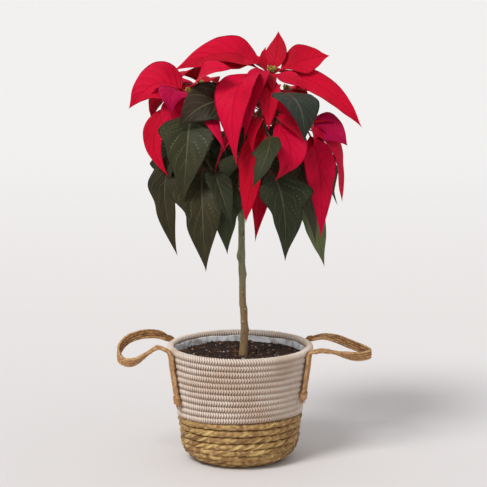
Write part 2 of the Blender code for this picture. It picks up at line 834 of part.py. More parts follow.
def too_close(new, old, half):
    """Whether a new blade crosses an old surface or comes nearer than the gap."""
    reach = STALK / 2 + half + CLEAR
    for k in range(3):
        if new["low"][k] > old["high"][k] + reach or old["low"][k] > new["high"][k] + reach:
            return False
    whole = new["node"] != old["node"]
    tree, probe_set = ("tree", "probes") if whole else ("outer", "outer_probes")
    if new[tree].overlap(old[tree]):
        return True
    for spot, thick in new[probe_set]:
        if old[tree].find_nearest(spot, thick + half + CLEAR)[0]:
            return True
    for spot, thick in old[probe_set]:
        if new[tree].find_nearest(spot, thick + BLADE / 2 + CLEAR)[0]:
            return True
    return False


def swings(most):
    steps = range(-most, most + 1, SWING_STEP)
    pairs = [(turn, dip) for turn in steps for dip in steps]
    return sorted(pairs, key=lambda pair: (pair[0] ** 2 + pair[1] ** 2, pair))


def place_blade(spec, most, blades, solids):
    """Swings a blade, as little as it needs, until it clears all the others."""
    for turn, dip in swings(most):
        rows = blade_rows(spec, turn, dip)
        new = blade_surface(spec, rows)
        if any(too_close(new, old, 0.0) for old in solids if old["node"] != spec["node"]):
            continue
        if any(too_close(new, old, BLADE / 2) for old in blades):
            continue
        new["rows"] = rows
        new["spec"] = spec
        new["swing"] = (turn, dip)
        return new
    return None


def blade_object(found, place):
    """The blade as a closed solid, thicker along its stalk."""
    spec, rows = found["spec"], found["rows"]
    columns = spec["columns"]
    bm = bmesh.new()
    last = len(rows) - 1
    bmesh.ops.create_grid(bm, x_segments=columns, y_segments=last, size=1)
    weights = bm.verts.layers.deform.verify()
    for vert in bm.verts:
        column = round((vert.co.x + 1) / 2 * columns)
        row = round((vert.co.y + 1) / 2 * last)
        vert.co = rows[row][column]
        vert[weights][0] = 1.0 if spec["stations"][row] <= spec["stalk"] else 0.0
    bmesh.ops.remove_doubles(bm, verts=bm.verts, dist=0.001)
    bmesh.ops.triangulate(bm, faces=bm.faces, quad_method="FIXED")
    obj = add_mesh("blade", bm, place)
    obj.vertex_groups.new(name="stalk")
    thick = obj.modifiers.new("Thickness", "SOLIDIFY")
    thick.thickness = STALK * MM
    thick.offset = 0.0
    thick.vertex_group = "stalk"
    thick.thickness_vertex_group = BLADE / STALK
    mesh = evaluated_mesh(obj)
    obj.modifiers.clear()
    obj.data = mesh
    return obj


# The head: every blade with its place


def bract_root(name, toward):
    """A point inside a bloom's core, towards the bract's own side."""
    bloom, _, lean = SHOOTS[name]
    lean = Vector(lean).normalized()
    side = Vector(toward) - Vector(bloom)
    side -= lean * side.dot(lean)
    return Vector(bloom) + side.normalized() * CORE_RADIUS * 0.4


def along_line(line, share):
    place = share * (len(line) - 1)
    k = min(int(place), len(line) - 2)
    return line[k].lerp(line[k + 1], place - k)


def seen_blades(lines):
    for i, (name, shoulder, tip, width, roll, wave) in enumerate(SEEN_BRACTS):
        root = bract_root(name, shoulder)
        yield blade("bloom_" + name, root, shoulder, tip, width, roll, wave, 100 + i, True)
    for i, (name, share, shoulder, tip, width, roll, wave) in enumerate(SEEN_LEAVES):
        root = along_line(lines[name], share)
        yield blade("shoot_" + name, root, shoulder, tip, width, roll, wave, 200 + i, True)


def within_head(start, out, reach):
    """The reach, shortened where it would carry a tip outside the head."""
    start = Vector((start.x / HEAD_NARROW, start.y))
    out = Vector((out.x / HEAD_NARROW, out.y))
    middle = start.dot(out)
    spare = middle**2 + out.length_squared * (HEAD_RADIUS**2 - start.length_squared)
    return min(reach, (math.sqrt(max(spare, 1.0)) - middle) / out.length_squared)


def fill_blades(lines):
    """Bracts and leaves by rule, for the sides and back of the head."""
    for b, (name, (count, facing, spread)) in enumerate(FILL_BRACTS.items()):
        rng = random.Random(SEED + 30 + b)
        bloom = Vector(SHOOTS[name][0])
        for i in range(count):
            turn = facing + spread * ((i + 0.5) / count - 0.5) + rng.uniform(-9, 9)
            out = Vector((math.cos(math.radians(turn)), math.sin(math.radians(turn)), 0))
            outer = i % 2 == 0
            length = rng.uniform(92, 112) if outer else rng.uniform(60, 80)
            reach = within_head(bloom, out, length * 0.85)
            rise = length * (rng.uniform(0.12, 0.26) if outer else rng.uniform(0.32, 0.46))
            drop = length * (rng.uniform(0.2, 0.6) if outer else rng.uniform(-0.25, 0.15))
            shoulder = bloom + out * reach * 0.62 + UP * rise
            tip = bloom + out * reach - UP * drop
            width = length * rng.uniform(0.40, 0.48)
            root = bract_root(name, shoulder)
            roll = rng.uniform(-25, 25)
            yield blade("bloom_" + name, root, shoulder, tip, width, roll, 0.05, 300 + 20 * b + i)
    for b, (name, (count, facing, spread)) in enumerate(FILL_LEAVES.items()):
        rng = random.Random(SEED + 60 + b)
        for i in range(count):
            turn = facing + spread * ((i + 0.5) / count - 0.5) + rng.uniform(-9, 9)
            out = Vector((math.cos(math.radians(turn)), math.sin(math.radians(turn)), 0))
            root = along_line(lines[name], 0.35 + 0.4 * (i + 0.5) / count)
            length = rng.uniform(112, 132)
            reach = within_head(root, out, length * 0.62) * 0.94
            shoulder = root + out * reach * 0.8 + UP * length * rng.uniform(0.05, 0.2)
            tip = root + out * reach - UP * length * rng.uniform(0.5, 0.7)
            width = length * rng.uniform(0.36, 0.5)
            roll = rng.uniform(-20, 20)
            yield blade("shoot_" + name, root, shoulder, tip, width, roll, 0.04, 500 + 20 * b + i)


def inner_blades(lines):
    """Short leaves inside the head, between the shoots, which close it to the eye."""
    for b, (name, (count, facing, spread)) in enumerate(INNER_LEAVES.items()):
        rng = random.Random(SEED + 90 + b)
        for i in range(count):
            turn = facing + spread * ((i + 0.5) / count - 0.5) + rng.uniform(-9, 9)
            out = Vector((math.cos(math.radians(turn)), math.sin(math.radians(turn)), 0))
            root = along_line(lines[name], 0.5 + 0.35 * (i + 0.5) / count)
            length = rng.uniform(66, 84)
            shoulder = root + out * length * 0.5 + UP * length * rng.uniform(0.0, 0.15)
            tip = root + out * length * 0.62 - UP * length * rng.uniform(0.55, 0.75)
            width = length * rng.uniform(0.55, 0.65)
            roll = rng.uniform(-15, 15)
            yield blade("shoot_" + name, root, shoulder, tip, width, roll, 0.04, 700 + 20 * b + i)


def plant(place):
    """The trunk, and for each shoot its stem with leaves, its bloom and its cyathia."""
    stem = trunk(place)
    lines = {name: shoot_line(name) for name in SHOOTS}
    bodies = {}
    solids = [solid_surface(stem)]
    for name, line in lines.items():
        radii = [SHOOT_RADIUS] * len(line)
        bodies["shoot_" + name] = tube("shoot_" + name, line, radii, place, "leaf")
        bodies["bloom_" + name] = core(name, place)
        solids.append(solid_surface(bodies["shoot_" + name]))
        solids.append(solid_surface(bodies["bloom_" + name]))
        solids.append(solid_surface(cyathia(name, place)))
    blades = []
    makers = ((seen_blades, SEEN_SWING), (fill_blades, FILL_SWING), (inner_blades, FILL_SWING))
    for make, most in makers:
        for spec in make(lines):
            found = place_blade(spec, most, blades, solids)
            if found:
                blades.append(found)
    for node, body in bodies.items():
        parts = [blade_object(found, place) for found in blades if found["node"] == node]
        fuse(body, parts, body.data.materials[0].name)
    return blades


def main():
    """Builds every piece in a collection named for the plant."""
    for obj in list(bpy.data.objects):
        bpy.data.objects.remove(obj)
    place = collection("poinsettia")
    cotton_wall(place)
    seagrass_base(place)
    liner(place)
    soil(place)
    handle("left", LEFT_LOOP, place)
    handle("right", RIGHT_LOOP, place)
    return plant(place)


main()
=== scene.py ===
import math
import random

import bmesh
import bpy
import numpy as np
from mathutils import Matrix, Quaternion, Vector, noise
from mathutils.bvhtree import BVHTree


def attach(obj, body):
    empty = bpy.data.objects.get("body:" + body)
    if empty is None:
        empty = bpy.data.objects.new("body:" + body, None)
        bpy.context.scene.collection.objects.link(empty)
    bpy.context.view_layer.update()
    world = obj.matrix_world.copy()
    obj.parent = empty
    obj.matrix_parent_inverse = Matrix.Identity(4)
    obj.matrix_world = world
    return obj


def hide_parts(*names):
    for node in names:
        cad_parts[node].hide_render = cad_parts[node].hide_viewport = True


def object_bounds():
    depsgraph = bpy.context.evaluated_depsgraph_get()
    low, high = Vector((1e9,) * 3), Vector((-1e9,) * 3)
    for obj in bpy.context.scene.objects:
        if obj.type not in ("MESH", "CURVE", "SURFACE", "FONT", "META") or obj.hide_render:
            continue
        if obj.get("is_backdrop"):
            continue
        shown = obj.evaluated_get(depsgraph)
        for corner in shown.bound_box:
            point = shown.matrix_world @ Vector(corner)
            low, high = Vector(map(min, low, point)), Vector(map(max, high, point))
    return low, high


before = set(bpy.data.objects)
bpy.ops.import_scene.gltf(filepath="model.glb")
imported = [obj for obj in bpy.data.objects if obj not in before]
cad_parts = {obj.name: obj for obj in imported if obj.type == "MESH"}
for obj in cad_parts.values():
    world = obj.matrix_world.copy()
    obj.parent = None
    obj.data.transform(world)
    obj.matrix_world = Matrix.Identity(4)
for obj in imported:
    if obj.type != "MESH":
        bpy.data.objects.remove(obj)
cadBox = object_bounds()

# A red poinsettia tree in a basket of coiled rope. Sizes are in millimetres.
mm = 0.001
up = Vector((0, 0, 1))
gap = 0.35  # kept between touching pieces in the model
seed = 12


# Camera, light and floor

camera = {
    "place": (4.4, -2200.0, 656.0),
    "pitch": 9.85,  # degrees downwards
    "focal": 1798.0,  # in pixels of the picture
    "picture": 487.0,  # pixels across
    "sensor": 36.0,
}
light = {
    "sky": (0.985, 0.99, 1.0),
    "skyStrength": 0.60,
    "sunTurn": -38.0,  # from the front towards the left
    "sunHeight": 50.0,
    "sunSoftness": 20.0,
    "sunStrength": 1.95,
    "near": (0.745, 0.715, 0.705),  # colours of the floor, darker near the camera and lighter far off: painted light falloff
    "far": (0.845, 0.83, 0.81),
    "floorReach": 40.0,  # metres
}


def placeCamera():
    data = bpy.data.cameras.new("camera")
    data.sensor_width = camera["sensor"]
    data.lens = camera["focal"] / camera["picture"] * camera["sensor"]
    data.clip_start = 0.05
    data.clip_end = 200.0
    made = bpy.data.objects.new("camera", data)
    made.location = Vector(camera["place"]) * mm
    made.rotation_euler = (math.radians(90 - camera["pitch"]), 0, 0)
    bpy.context.scene.collection.objects.link(made)
    bpy.context.scene.camera = made


def placeLight():
    world = bpy.data.worlds.new("studio")
    world.use_nodes = True
    sky = world.node_tree.nodes["Background"]
    sky.inputs["Color"].default_value = (*light["sky"], 1)
    sky.inputs["Strength"].default_value = light["skyStrength"]
    bpy.context.scene.world = world
    sun = bpy.data.lights.new("softSun", "SUN")
    sun.energy = light["sunStrength"]
    sun.angle = math.radians(light["sunSoftness"])
    made = bpy.data.objects.new("softSun", sun)
    tilt = math.radians(90 - light["sunHeight"])
    made.rotation_euler = (tilt, 0, math.radians(light["sunTurn"]))
    bpy.context.scene.collection.objects.link(made)
    bpy.context.scene.view_settings.view_transform = "Standard"


def placeFloor():
    reach = light["floorReach"]
    corners = [(-reach, -reach, 0), (reach, -reach, 0), (reach, reach, 0), (-reach, reach, 0)]
    mesh = bpy.data.meshes.new("floor")
    mesh.from_pydata(corners, [], [(0, 1, 2, 3)])
    made = bpy.data.objects.new("floor", mesh)
    bpy.context.scene.collection.objects.link(made)
    paint, tree, shader = newFinish("floorPaint", 0.9, 0.1)
    place = addNode(tree, "TexCoord").outputs["Object"]
    back = addNode(tree, "SeparateXYZ", {"Vector": place}).outputs[1]
    # painted light falloff: the floor goes from darker near the camera to lighter far off
    colour = mixColours(tree, between(tree, back, -0.4, 3.5), light["near"], light["far"])
    feed(tree, shader.inputs["Base Color"], colour)
    mesh.materials.append(paint)
    made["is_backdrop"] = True


# Finishes: nodes that every material is made from


def newFinish(name, roughness, specular=0.4):
    made = bpy.data.materials.new(name)
    made.use_nodes = True
    shader = made.node_tree.nodes["Principled BSDF"]
    shader.inputs["Roughness"].default_value = roughness
    shader.inputs["Specular IOR Level"].default_value = specular
    return made, made.node_tree, shader


def feed(tree, socket, value):
    if isinstance(value, bpy.types.NodeSocket):
        tree.links.new(value, socket)
    elif isinstance(value, tuple) and len(value) == 3 and len(socket.default_value) == 4:
        socket.default_value = (*value, 1.0)
    else:
        socket.default_value = value


def addNode(tree, kind, inputs=(), **settings):
    made = tree.nodes.new("ShaderNode" + kind)
    for name, value in settings.items():
        setattr(made, name, value)
    for name, value in dict(inputs).items():
        feed(tree, made.inputs[name], value)
    return made


def reckon(tree, operation, a, b=0.0, clamp=False):
    made = addNode(tree, "Math", operation=operation, use_clamp=clamp)
    feed(tree, made.inputs[0], a)
    feed(tree, made.inputs[1], b)
    return made.outputs[0]


def between(tree, value, low, high):  # 0 at low, 1 at high
    kind = {"From Min": low, "From Max": high}
    made = addNode(tree, "MapRange", kind, clamp=True, interpolation_type="SMOOTHSTEP")
    feed(tree, made.inputs["Value"], value)
    return made.outputs[0]


def mixColours(tree, share, a, b, blend="MIX"):
    made = addNode(tree, "Mix", data_type="RGBA", blend_type=blend)
    feed(tree, made.inputs[0], share)
    feed(tree, made.inputs[6], a)
    feed(tree, made.inputs[7], b)
    return made.outputs[2]


def mottle(tree, scale, detail=3.0, roughness=0.55, stretch=None):
    place = addNode(tree, "TexCoord").outputs["Object"]
    if stretch:
        place = addNode(tree, "Mapping", {"Vector": place, "Scale": stretch}).outputs[0]
    kind = {"Vector": place, "Scale": scale, "Detail": detail, "Roughness": roughness}
    return addNode(tree, "TexNoise", kind).outputs["Fac"]


def cells(tree, scale, feature="DISTANCE_TO_EDGE"):
    place = addNode(tree, "TexCoord").outputs["Object"]
    kind = {"Vector": place, "Scale": scale}
    return addNode(tree, "TexVoronoi", kind, feature=feature).outputs["Distance"]


def ramp(tree, value, *stops):
    made = addNode(tree, "ValToRGB", {"Fac": value})
    colours = made.color_ramp
    while len(colours.elements) < len(stops):
        colours.elements.new(0.5)
    for element, (place, colour) in zip(colours.elements, stops):
        element.position = place
        element.color = (*colour, 1.0)
    return made.outputs["Color"]


def bump(tree, height, depth, normal=None, strength=1.0):
    made = addNode(tree, "Bump", {"Height": height, "Distance": depth * mm, "Strength": strength})
    if normal:
        feed(tree, made.inputs["Normal"], normal)
    return made.outputs["Normal"]


def shades(tree):  # what the mesh says of each point, as three numbers
    found = addNode(tree, "Attribute", attribute_name="shade", attribute_type="GEOMETRY")
    parts = addNode(tree, "SeparateColor", {"Color": found.outputs["Color"]})
    return parts.outputs[0], parts.outputs[1], parts.outputs[2]


# Pieces from points and faces


def makePiece(name, points, faces, finish, nodes=(), shade=None, uvs=None):
    mesh = bpy.data.meshes.new(name)
    scaled = [tuple(c * mm for c in point) for point in points]
    mesh.from_pydata(scaled, [], [tuple(int(i) for i in face) for face in faces])
    if shade is not None:
        layer = mesh.color_attributes.new("shade", "FLOAT_COLOR", "POINT")
        flat = np.ones((len(points), 4), dtype=np.float32)
        flat[:, :3] = np.asarray(shade, dtype=np.float32)
        layer.data.foreach_set("color", flat.ravel())
    if uvs is not None:
        layer = mesh.uv_layers.new(name="blade")
        corners = np.zeros(len(mesh.loops), dtype=np.int32)
        mesh.loops.foreach_get("vertex_index", corners)
        layer.data.foreach_set("uv", np.asarray(uvs, dtype=np.float32)[corners].ravel())
    mesh.materials.append(finish)
    mesh.shade_smooth()
    mesh.update()
    made = bpy.data.objects.new(name, mesh)
    bpy.context.scene.collection.objects.link(made)
    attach(made, "root")
    if nodes:
        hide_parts(*nodes)
    return made


def gridFaces(long, wide, closeLong=False, closeWide=False, start=0):
    faces = []
    for i in range(long if closeLong else long - 1):
        for j in range(wide if closeWide else wide - 1):
            a = start + i * wide + j
            b = start + i * wide + (j + 1) % wide
            c = start + (i + 1) % long * wide + (j + 1) % wide
            d = start + (i + 1) % long * wide + j
            faces.append((a, b, c, d))
    return faces


class Pile:  # points, faces, shades and uvs of one piece, gathered bit by bit
    def __init__(self):
        self.points = []
        self.faces = []
        self.shade = []
        self.uvs = []

    def add(self, points, faces, shade, uvs=None):
        start = len(self.points)
        self.points.extend(points)
        self.faces.extend(tuple(start + i for i in face) for face in faces)
        if isinstance(shade, tuple):
            shade = [shade] * len(points)
        self.shade.extend(shade)
        self.uvs.extend(uvs if uvs is not None else [(0.0, 0.0)] * len(points))

    def make(self, name, finish, slotName, nodes=(), withUvs=False, depth=1.0):
        uvs = self.uvs if withUvs else None
        points = [(x, y * depth, z) for x, y, z in self.points]
        return makePiece(name, points, self.faces, finish, nodes, self.shade, uvs)


def smoothLine(points, count):  # evenly spaced points along a smooth curve
    ends = [2 * points[0] - points[1]] + list(points) + [2 * points[-1] - points[-2]]
    fine = []
    for a, b, c, d in zip(ends, ends[1:], ends[2:], ends[3:]):
        for step in range(12):
            t = step / 12
            part = 2 * b + (c - a) * t + (2 * a - 5 * b + 4 * c - d) * t**2
            fine.append((part + (3 * b - 3 * c + d - a) * t**3) / 2)
    fine.append(points[-1].copy())
    lengths = [0.0]
    for a, b in zip(fine, fine[1:]):
        lengths.append(lengths[-1] + (b - a).length)
    line = []
    k = 0
    for i in range(count):
        along = lengths[-1] * i / (count - 1)
        while k < len(fine) - 2 and lengths[k + 1] < along:
            k += 1
        share = (along - lengths[k]) / (lengths[k + 1] - lengths[k])
        line.append(fine[k].lerp(fine[k + 1], share))
    return line


def sweep(line, radii, sides, relief=None):  # a round bar along points, with closed ends
    points = []
    across = None
    for i, here in enumerate(line):
        ahead = (line[min(i + 1, len(line) - 1)] - line[max(i - 1, 0)]).normalized()
        if across is None:
            across = ahead.orthogonal().normalized()
        across = (across - ahead * across.dot(ahead)).normalized()
        over = ahead.cross(across)
        for k in range(sides):
            turn = 2 * math.pi * k / sides
            reach = radii[i] + (relief(i, turn) if relief else 0.0)
            points.append(here + (across * math.cos(turn) + over * math.sin(turn)) * reach)
    faces = gridFaces(len(line), sides, closeWide=True)
    faces.append(tuple(range(sides))[::-1])
    faces.append(tuple(range(len(points) - sides, len(points))))
    return points, faces


print("stage: tools ready")


# Basket shape, as in the model

basket = {
    "height": 146.0,
    "depth": 0.95,  # front to back, as a share of its width
    "rimRadius": 92.0,
    "joinRadius": 78.8,
    "joinHeight": 59.5,
    "shoulderRadius": 74.5,
    "shoulderHeight": 28.0,
    "footRadius": 45.0,
    "wall": 7.6,
    "seamSide": 2.1,  # how the line between the two ropes rises to the right,
    "seamFront": 3.4,  # to the front
    "seamSink": 0.6,  # and sinks as a whole
}


def wallRadius(z):
    if z >= basket["joinHeight"]:
        share = (z - basket["joinHeight"]) / (basket["height"] - basket["joinHeight"])
        return basket["joinRadius"] + (basket["rimRadius"] - basket["joinRadius"]) * share
    straight = basket["joinHeight"] - basket["shoulderHeight"]
    share = (z - basket["shoulderHeight"]) / straight
    return basket["shoulderRadius"] + (basket["joinRadius"] - basket["shoulderRadius"]) * share


def baseLine(share):  # radius, height and outward angle, from the join (0) to the foot (1)
    straight = basket["joinHeight"] - basket["shoulderHeight"]
    inset = basket["shoulderRadius"] - basket["footRadius"]
    corner = math.pi / 2 * (basket["shoulderHeight"] + inset) / 2
    along = share * (straight + corner)
    if along <= straight:
        return wallRadius(basket["joinHeight"] - along), basket["joinHeight"] - along, 0.0
    angle = (along - straight) / corner * math.pi / 2
    radius = basket["footRadius"] + inset * math.cos(angle)
    return radius, basket["shoulderHeight"] * (1 - math.sin(angle)), -angle


def seamRise(around):  # 0 is the left side, and a quarter turn on is the front
    tilt = basket["seamFront"] * math.sin(around) - basket["seamSide"] * math.cos(around)
    return tilt - basket["seamSink"]


# Cotton rope: rows of braid, each a chain of arrow-shaped strands

cotton = {
    "rows": 11,
    "rope": 4.35,  # radius of the rope, pressed into its neighbours
    "flatness": 0.72,  # of the rope's outer side, 1 for round
    "stitch": 3.45,  # length of one strand along the rope
    "slant": 2.6,  # how far the strands lean back from the middle of the row
    "depth": 1.05,  # of the gap between two strands
    "cream": (0.80, 0.70, 0.61),
    "warm": (0.66, 0.51, 0.40),
    "brown": (0.44, 0.29, 0.20),
    "shadow": (0.15, 0.085, 0.055),
}


def cottonFinish():
    made, tree, shader = newFinish("cottonBraid", 0.92, 0.1)
    crest, tone, low = shades(tree)
    patch = mottle(tree, 17.0, 2.0)
    body = mixColours(tree, between(tree, patch, 0.40, 0.66), cotton["cream"], cotton["warm"])
    body = mixColours(tree, reckon(tree, "MULTIPLY", tone, 0.35), body, cotton["warm"])
    # the lower half of each row is mixed towards brown: partly darker yarn, partly painted shade from light
    # falling from above
    body = mixColours(tree, reckon(tree, "MULTIPLY", low, 0.55), body, cotton["brown"])
    # painted shade: the gaps between the strands are darkened to the shadow colour, more widely in the lower half
    # of each row
    gapShade = reckon(tree, "SUBTRACT", crest, reckon(tree, "MULTIPLY", low, 0.28))
    colour = mixColours(tree, between(tree, gapShade, 0.0, 0.6), cotton["shadow"], body)
    feed(tree, shader.inputs["Base Color"], colour)
    fibre = mottle(tree, 2600.0, 2.0, 0.6)
    feed(tree, shader.inputs["Normal"], bump(tree, fibre, 0.25))
    return made


def cottonRope():
    rows = cotton["rows"]
    pitch = (basket["height"] - basket["joinHeight"]) / rows
    front = [math.radians(a) for a in (-118, -92, -68, -46, -23, 0, 23, 46, 68, 92, 118)]
    back = [math.radians(a) for a in (150, 180, 210)]
    ring = front + back
    rise = (0.0, 0.8, 1.0, 0.72)  # of the strands' round backs, from gap to gap
    rng = np.random.default_rng(seed)
    pile = Pile()
    for row in range(rows):
        height = basket["height"] - (row + 0.5) * pitch
        lip = 1.05 if row == 0 else 1.0
        fade = row / (rows - 1)
        radius = wallRadius(height) - cotton["rope"] + 0.2
        stitches = round(2 * math.pi * (radius + cotton["rope"]) / cotton["stitch"])
        steps = stitches * len(rise)
        jitter = rng.uniform(-0.16, 0.16, stitches)
        tone = rng.uniform(0.0, 1.0, stitches)
        start = rng.uniform(0.0, 1.0)
        points = np.zeros((steps, len(ring), 3))
        shade = np.zeros((steps, len(ring), 3))
        for j, turn in enumerate(ring):
            lean = -abs(turn) / (math.pi / 2) * cotton["slant"] if j < len(front) else 0.0
            i = np.arange(steps)
            crest = np.array(rise)[i % len(rise)]
            along = (i / len(rise) + start) * cotton["stitch"] + lean
            around = along / (stitches * cotton["stitch"]) * 2 * math.pi
            deep = cotton["depth"] * (crest - 1.0) + jitter[i // len(rise)]
            if j >= len(front):
                deep = deep * 0.2
            swell = 1.0 + 0.02 * np.sin(3 * around + row * 1.7)
            reach = (cotton["rope"] * lip + deep) * swell
            bulge = math.copysign(abs(math.cos(turn)) ** cotton["flatness"], math.cos(turn))
            flat = radius + reach * bulge
            tilt = fade * np.array([seamRise(a) for a in around])
            x = -flat * np.cos(around)
            y = -flat * np.sin(around)
            wander = 0.35 * np.sin(2 * around + row) + 0.2 * np.sin(7 * around + 2.3 * row)
            z = height + reach * math.sin(turn) + tilt + wander * min(1.0, row / 2)
            points[:, j] = np.stack((x, y, z), axis=1)
            shade[:, j, 0] = crest
            shade[:, j, 1] = tone[i // len(rise)]
            # third channel: how low on the row a point lies, driving the darker yarn and the painted shade of the
            # lower half
            shade[:, j, 2] = min(1.0, max(0.0, 0.35 - 1.1 * math.sin(turn)))
        faces = gridFaces(steps, len(ring), True, True)
        flatPoints = points.reshape(-1, 3).tolist()
        pile.add(flatPoints, [face[::-1] for face in faces], shade.reshape(-1, 3).tolist())
    nodes = ["basket_cotton_wall"]
    pile.make("cotton_rope", cottonFinish(), "cotton_rope", nodes, depth=basket["depth"])


# Seagrass rope: three twisted strands a row, with pale straws worked in

seagrass = {
    "rows": 9,
    "rope": 4.3,
    "strands": 3,
    "lay": 46.0,  # length of one full turn of a strand
    "lobe": 1.35,  # depth of the groove between strands
    "step": 1.7,  # between two sections of the mesh
    "sides": 20,
    "straws": 150,
    "broad": (  # straws that stand out: row, degrees round, length, width, paleness
        (1, 58, 19, 3.6, 1.0),
        (3, 86, 20, 4.0, 0.95),
        (4, 106, 25, 4.4, 1.0),
    ),
    # painted shade colour for the grooves between the strands
    "dark": (0.030, 0.012, 0.004),
    "brown": (0.185, 0.085, 0.028),
    "tan": (0.36, 0.20, 0.075),
    "pale": (0.66, 0.46, 0.17),
}


def seagrassFinish():
    made, tree, shader = newFinish("seagrassStraw", 0.62, 0.35)
    crest, tone, _ = shades(tree)
    streak = mottle(tree, 420.0, 3.0, 0.6, (0.35, 0.35, 1.6))
    mixed = reckon(tree, "ADD", reckon(tree, "MULTIPLY", tone, 0.75), reckon(tree, "MULTIPLY", streak, 0.35))
    body = ramp(tree, mixed, (0.12, seagrass["brown"]), (0.5, seagrass["tan"]), (0.95, seagrass["pale"]))
    # painted shade: the grooves between the strands are darkened to the dark colour
    colour = mixColours(tree, between(tree, crest, 0.0, 0.5), seagrass["dark"], body)
    feed(tree, shader.inputs["Base Color"], colour)
    fibre = mottle(tree, 900.0, 3.0, 0.6, (0.3, 0.3, 2.0))
    feed(tree, shader.inputs["Normal"], bump(tree, fibre, 0.4))
    return made


def seagrassRow(row):  # centre radius, height and outward lean of a row
    share = (row + 0.5) / seagrass["rows"]
    radius, height, lean = baseLine(share)
    inset = seagrass["rope"] - 0.25
    fade = 1.0 - share
    return radius - inset * math.cos(lean), height - inset * math.sin(lean), lean, fade


def seagrassPoint(row, around, turn, reach):  # a point on a row's surface
    radius, height, lean, fade = seagrassRow(row)
    flat = radius + reach * math.cos(turn + lean)
    z = height + reach * math.sin(turn + lean) + seamRise(around) * fade
    z += 0.45 * math.sin(2 * around + row * 1.3) * fade
    return (-flat * math.cos(around), -flat * math.sin(around), max(z, 0.35))


def seagrassRope():
    pile = Pile()
    straws = random.Random(seed + 5)
    sides = seagrass["sides"]
    for row in range(seagrass["rows"]):
        radius = seagrassRow(row)[0]
        steps = round(2 * math.pi * (radius + 4) / seagrass["step"])
        turns = max(1, round(2 * math.pi * radius / seagrass["lay"]))
        start = straws.uniform(0, 6.28)
        points = []
        shade = []
        for i in range(steps):
            around = 2 * math.pi * i / steps
            here = Vector((math.cos(around), math.sin(around), row * 0.9)) * 3.0
            slip = noise.noise(here) * 0.7
            twist = turns * around + start + slip
            fat = 1.0 + 0.09 * noise.noise(here * 2.3)
            for k in range(sides):
                turn = 2 * math.pi * k / sides
                phase = seagrass["strands"] * (turn - twist) / 2
                lobe = abs(math.cos(phase)) ** 0.55
                strand = math.floor(phase / math.pi + 0.5)
                spot = Vector((strand * 3.7, twist * 1.9, row * 5.1))
                tone = 0.5 + 0.75 * noise.noise(spot)
                ridge = 0.16 * math.sin(phase * 9 + 3 * noise.noise(here * 4))
                reach = seagrass["rope"] * fat - seagrass["lobe"] * (1 - lobe) + ridge * lobe
                points.append(seagrassPoint(row, around, turn, reach))
                shade.append((lobe + ridge * 0.8, min(1.0, max(0.0, tone)), 0.0))
        faces = gridFaces(steps, sides, True, True)
        pile.add(points, [face[::-1] for face in faces], shade)
    makeFloor(pile)
    nodes = ["basket_seagrass_base"]
    pile.make("seagrass_rope", seagrassFinish(), "seagrass_rope", nodes, depth=basket["depth"])
    looseStraws(straws)


def makeFloor(pile):  # the woven floor under the soil, in rings of the same rope
    rings = 5
    sides = 10
    for ring in range(rings):
        radius = basket["footRadius"] * (ring + 0.5) / rings - 3.0
        rope = basket["footRadius"] / rings / 2 * 0.9
        if radius <= rope:
            radius = rope * 1.05
        steps = max(24, round(2 * math.pi * radius / 4.0))
        points = []
        for i in range(steps):
            around = 2 * math.pi * i / steps
            for k in range(sides):
                turn = 2 * math.pi * k / sides
                flat = radius + rope * math.cos(turn)
                z = 3.8 + 3.3 * math.sin(turn)
                points.append((-flat * math.cos(around), -flat * math.sin(around), z))
        faces = gridFaces(steps, sides, True, True)
        pile.add(points, [face[::-1] for face in faces], (0.7, 0.4, 0.0))


def looseStraws(rng):  # flat ends of leaf that stand off the strands
    pile = Pile()
    placed = list(seagrass["broad"])
    for _ in range(seagrass["straws"]):
        row = rng.randrange(seagrass["rows"] - 1)
        length = rng.uniform(11, 24)
        placed.append((row, rng.uniform(0, 360), length, rng.uniform(1.4, 3.2), rng.random() ** 1.5))
    for row, degrees, length, width, tone in placed:
        radius = seagrassRow(row)[0] + seagrass["rope"]
        middle = math.radians(degrees)
        slope = 0.42 * rng.uniform(0.8, 1.2)
        lift = rng.uniform(0.25, 0.55)
        rows = 9
        tops, bottoms, shade = [], [], []
        for i in range(rows):
            u = i / (rows - 1) * 2 - 1
            half = width / 2 * (1 - u * u) ** 0.6 + 0.08
            for v in (-1, 0, 1):
                along = u * length / 2 - v * half * 0.35
                rise = u * length / 2 * slope + v * half
                turn = rise / seagrass["rope"]
                crown = 0.35 * (1 - v * v)
                reach = seagrass["rope"] + lift + crown - 0.5 * u * u
                around = middle + along / radius
                tops.append(seagrassPoint(row, around, turn, reach))
                bottoms.append(seagrassPoint(row, around, turn, reach - 0.35))
                shade.append((1.0, tone, 0.0))
        count = len(tops)
        faces = gridFaces(rows, 3)
        under = [tuple(count + i for i in face[::-1]) for face in faces]
        rim = [i * 3 for i in range(rows)] + [count - 3 + 1] + [i * 3 + 2 for i in range(rows)][::-1] + [1]
        sides = []
        for a, b in zip(rim, rim[1:] + rim[:1]):
            sides.append((b, a, count + a, count + b))
        solid = [face[::-1] for face in faces + under + sides]
        pile.add(tops + bottoms, solid, shade + shade)
    finish = bpy.data.materials["seagrassStraw"]
    pile.make("seagrass_straws", finish, "seagrass_rope", depth=basket["depth"])


cottonRope()
seagrassRope()
print("stage: basket ropes done")


# Handles: flat plaits of four fine cords, twisted by turns to the left and the right

strap = {
    "cord": 2.9,  # a quarter of the plait's width
    "cords": 4,
    "half": 1.56,  # half the width of one cord
    "deep": 2.65,  # half its thickness
    "strands": 3,
    "lay": 8.4,
    "groove": 0.62,
    "sides": 12,
    "points": 480,
    "splay": 24.5,
    "legEnds": {"left": 77.0, "right": 84.0},
    "wraps": 4,  # round each leg's end
    "tuft": 16,
    "fibres": 90,
    # painted shade colour for the grooves between the strands
    "dark": (0.045, 0.018, 0.007),
    "brown": (0.22, 0.10, 0.038),
    "tan": (0.49, 0.265, 0.115),
    "pale": (0.70, 0.46, 0.24),
}

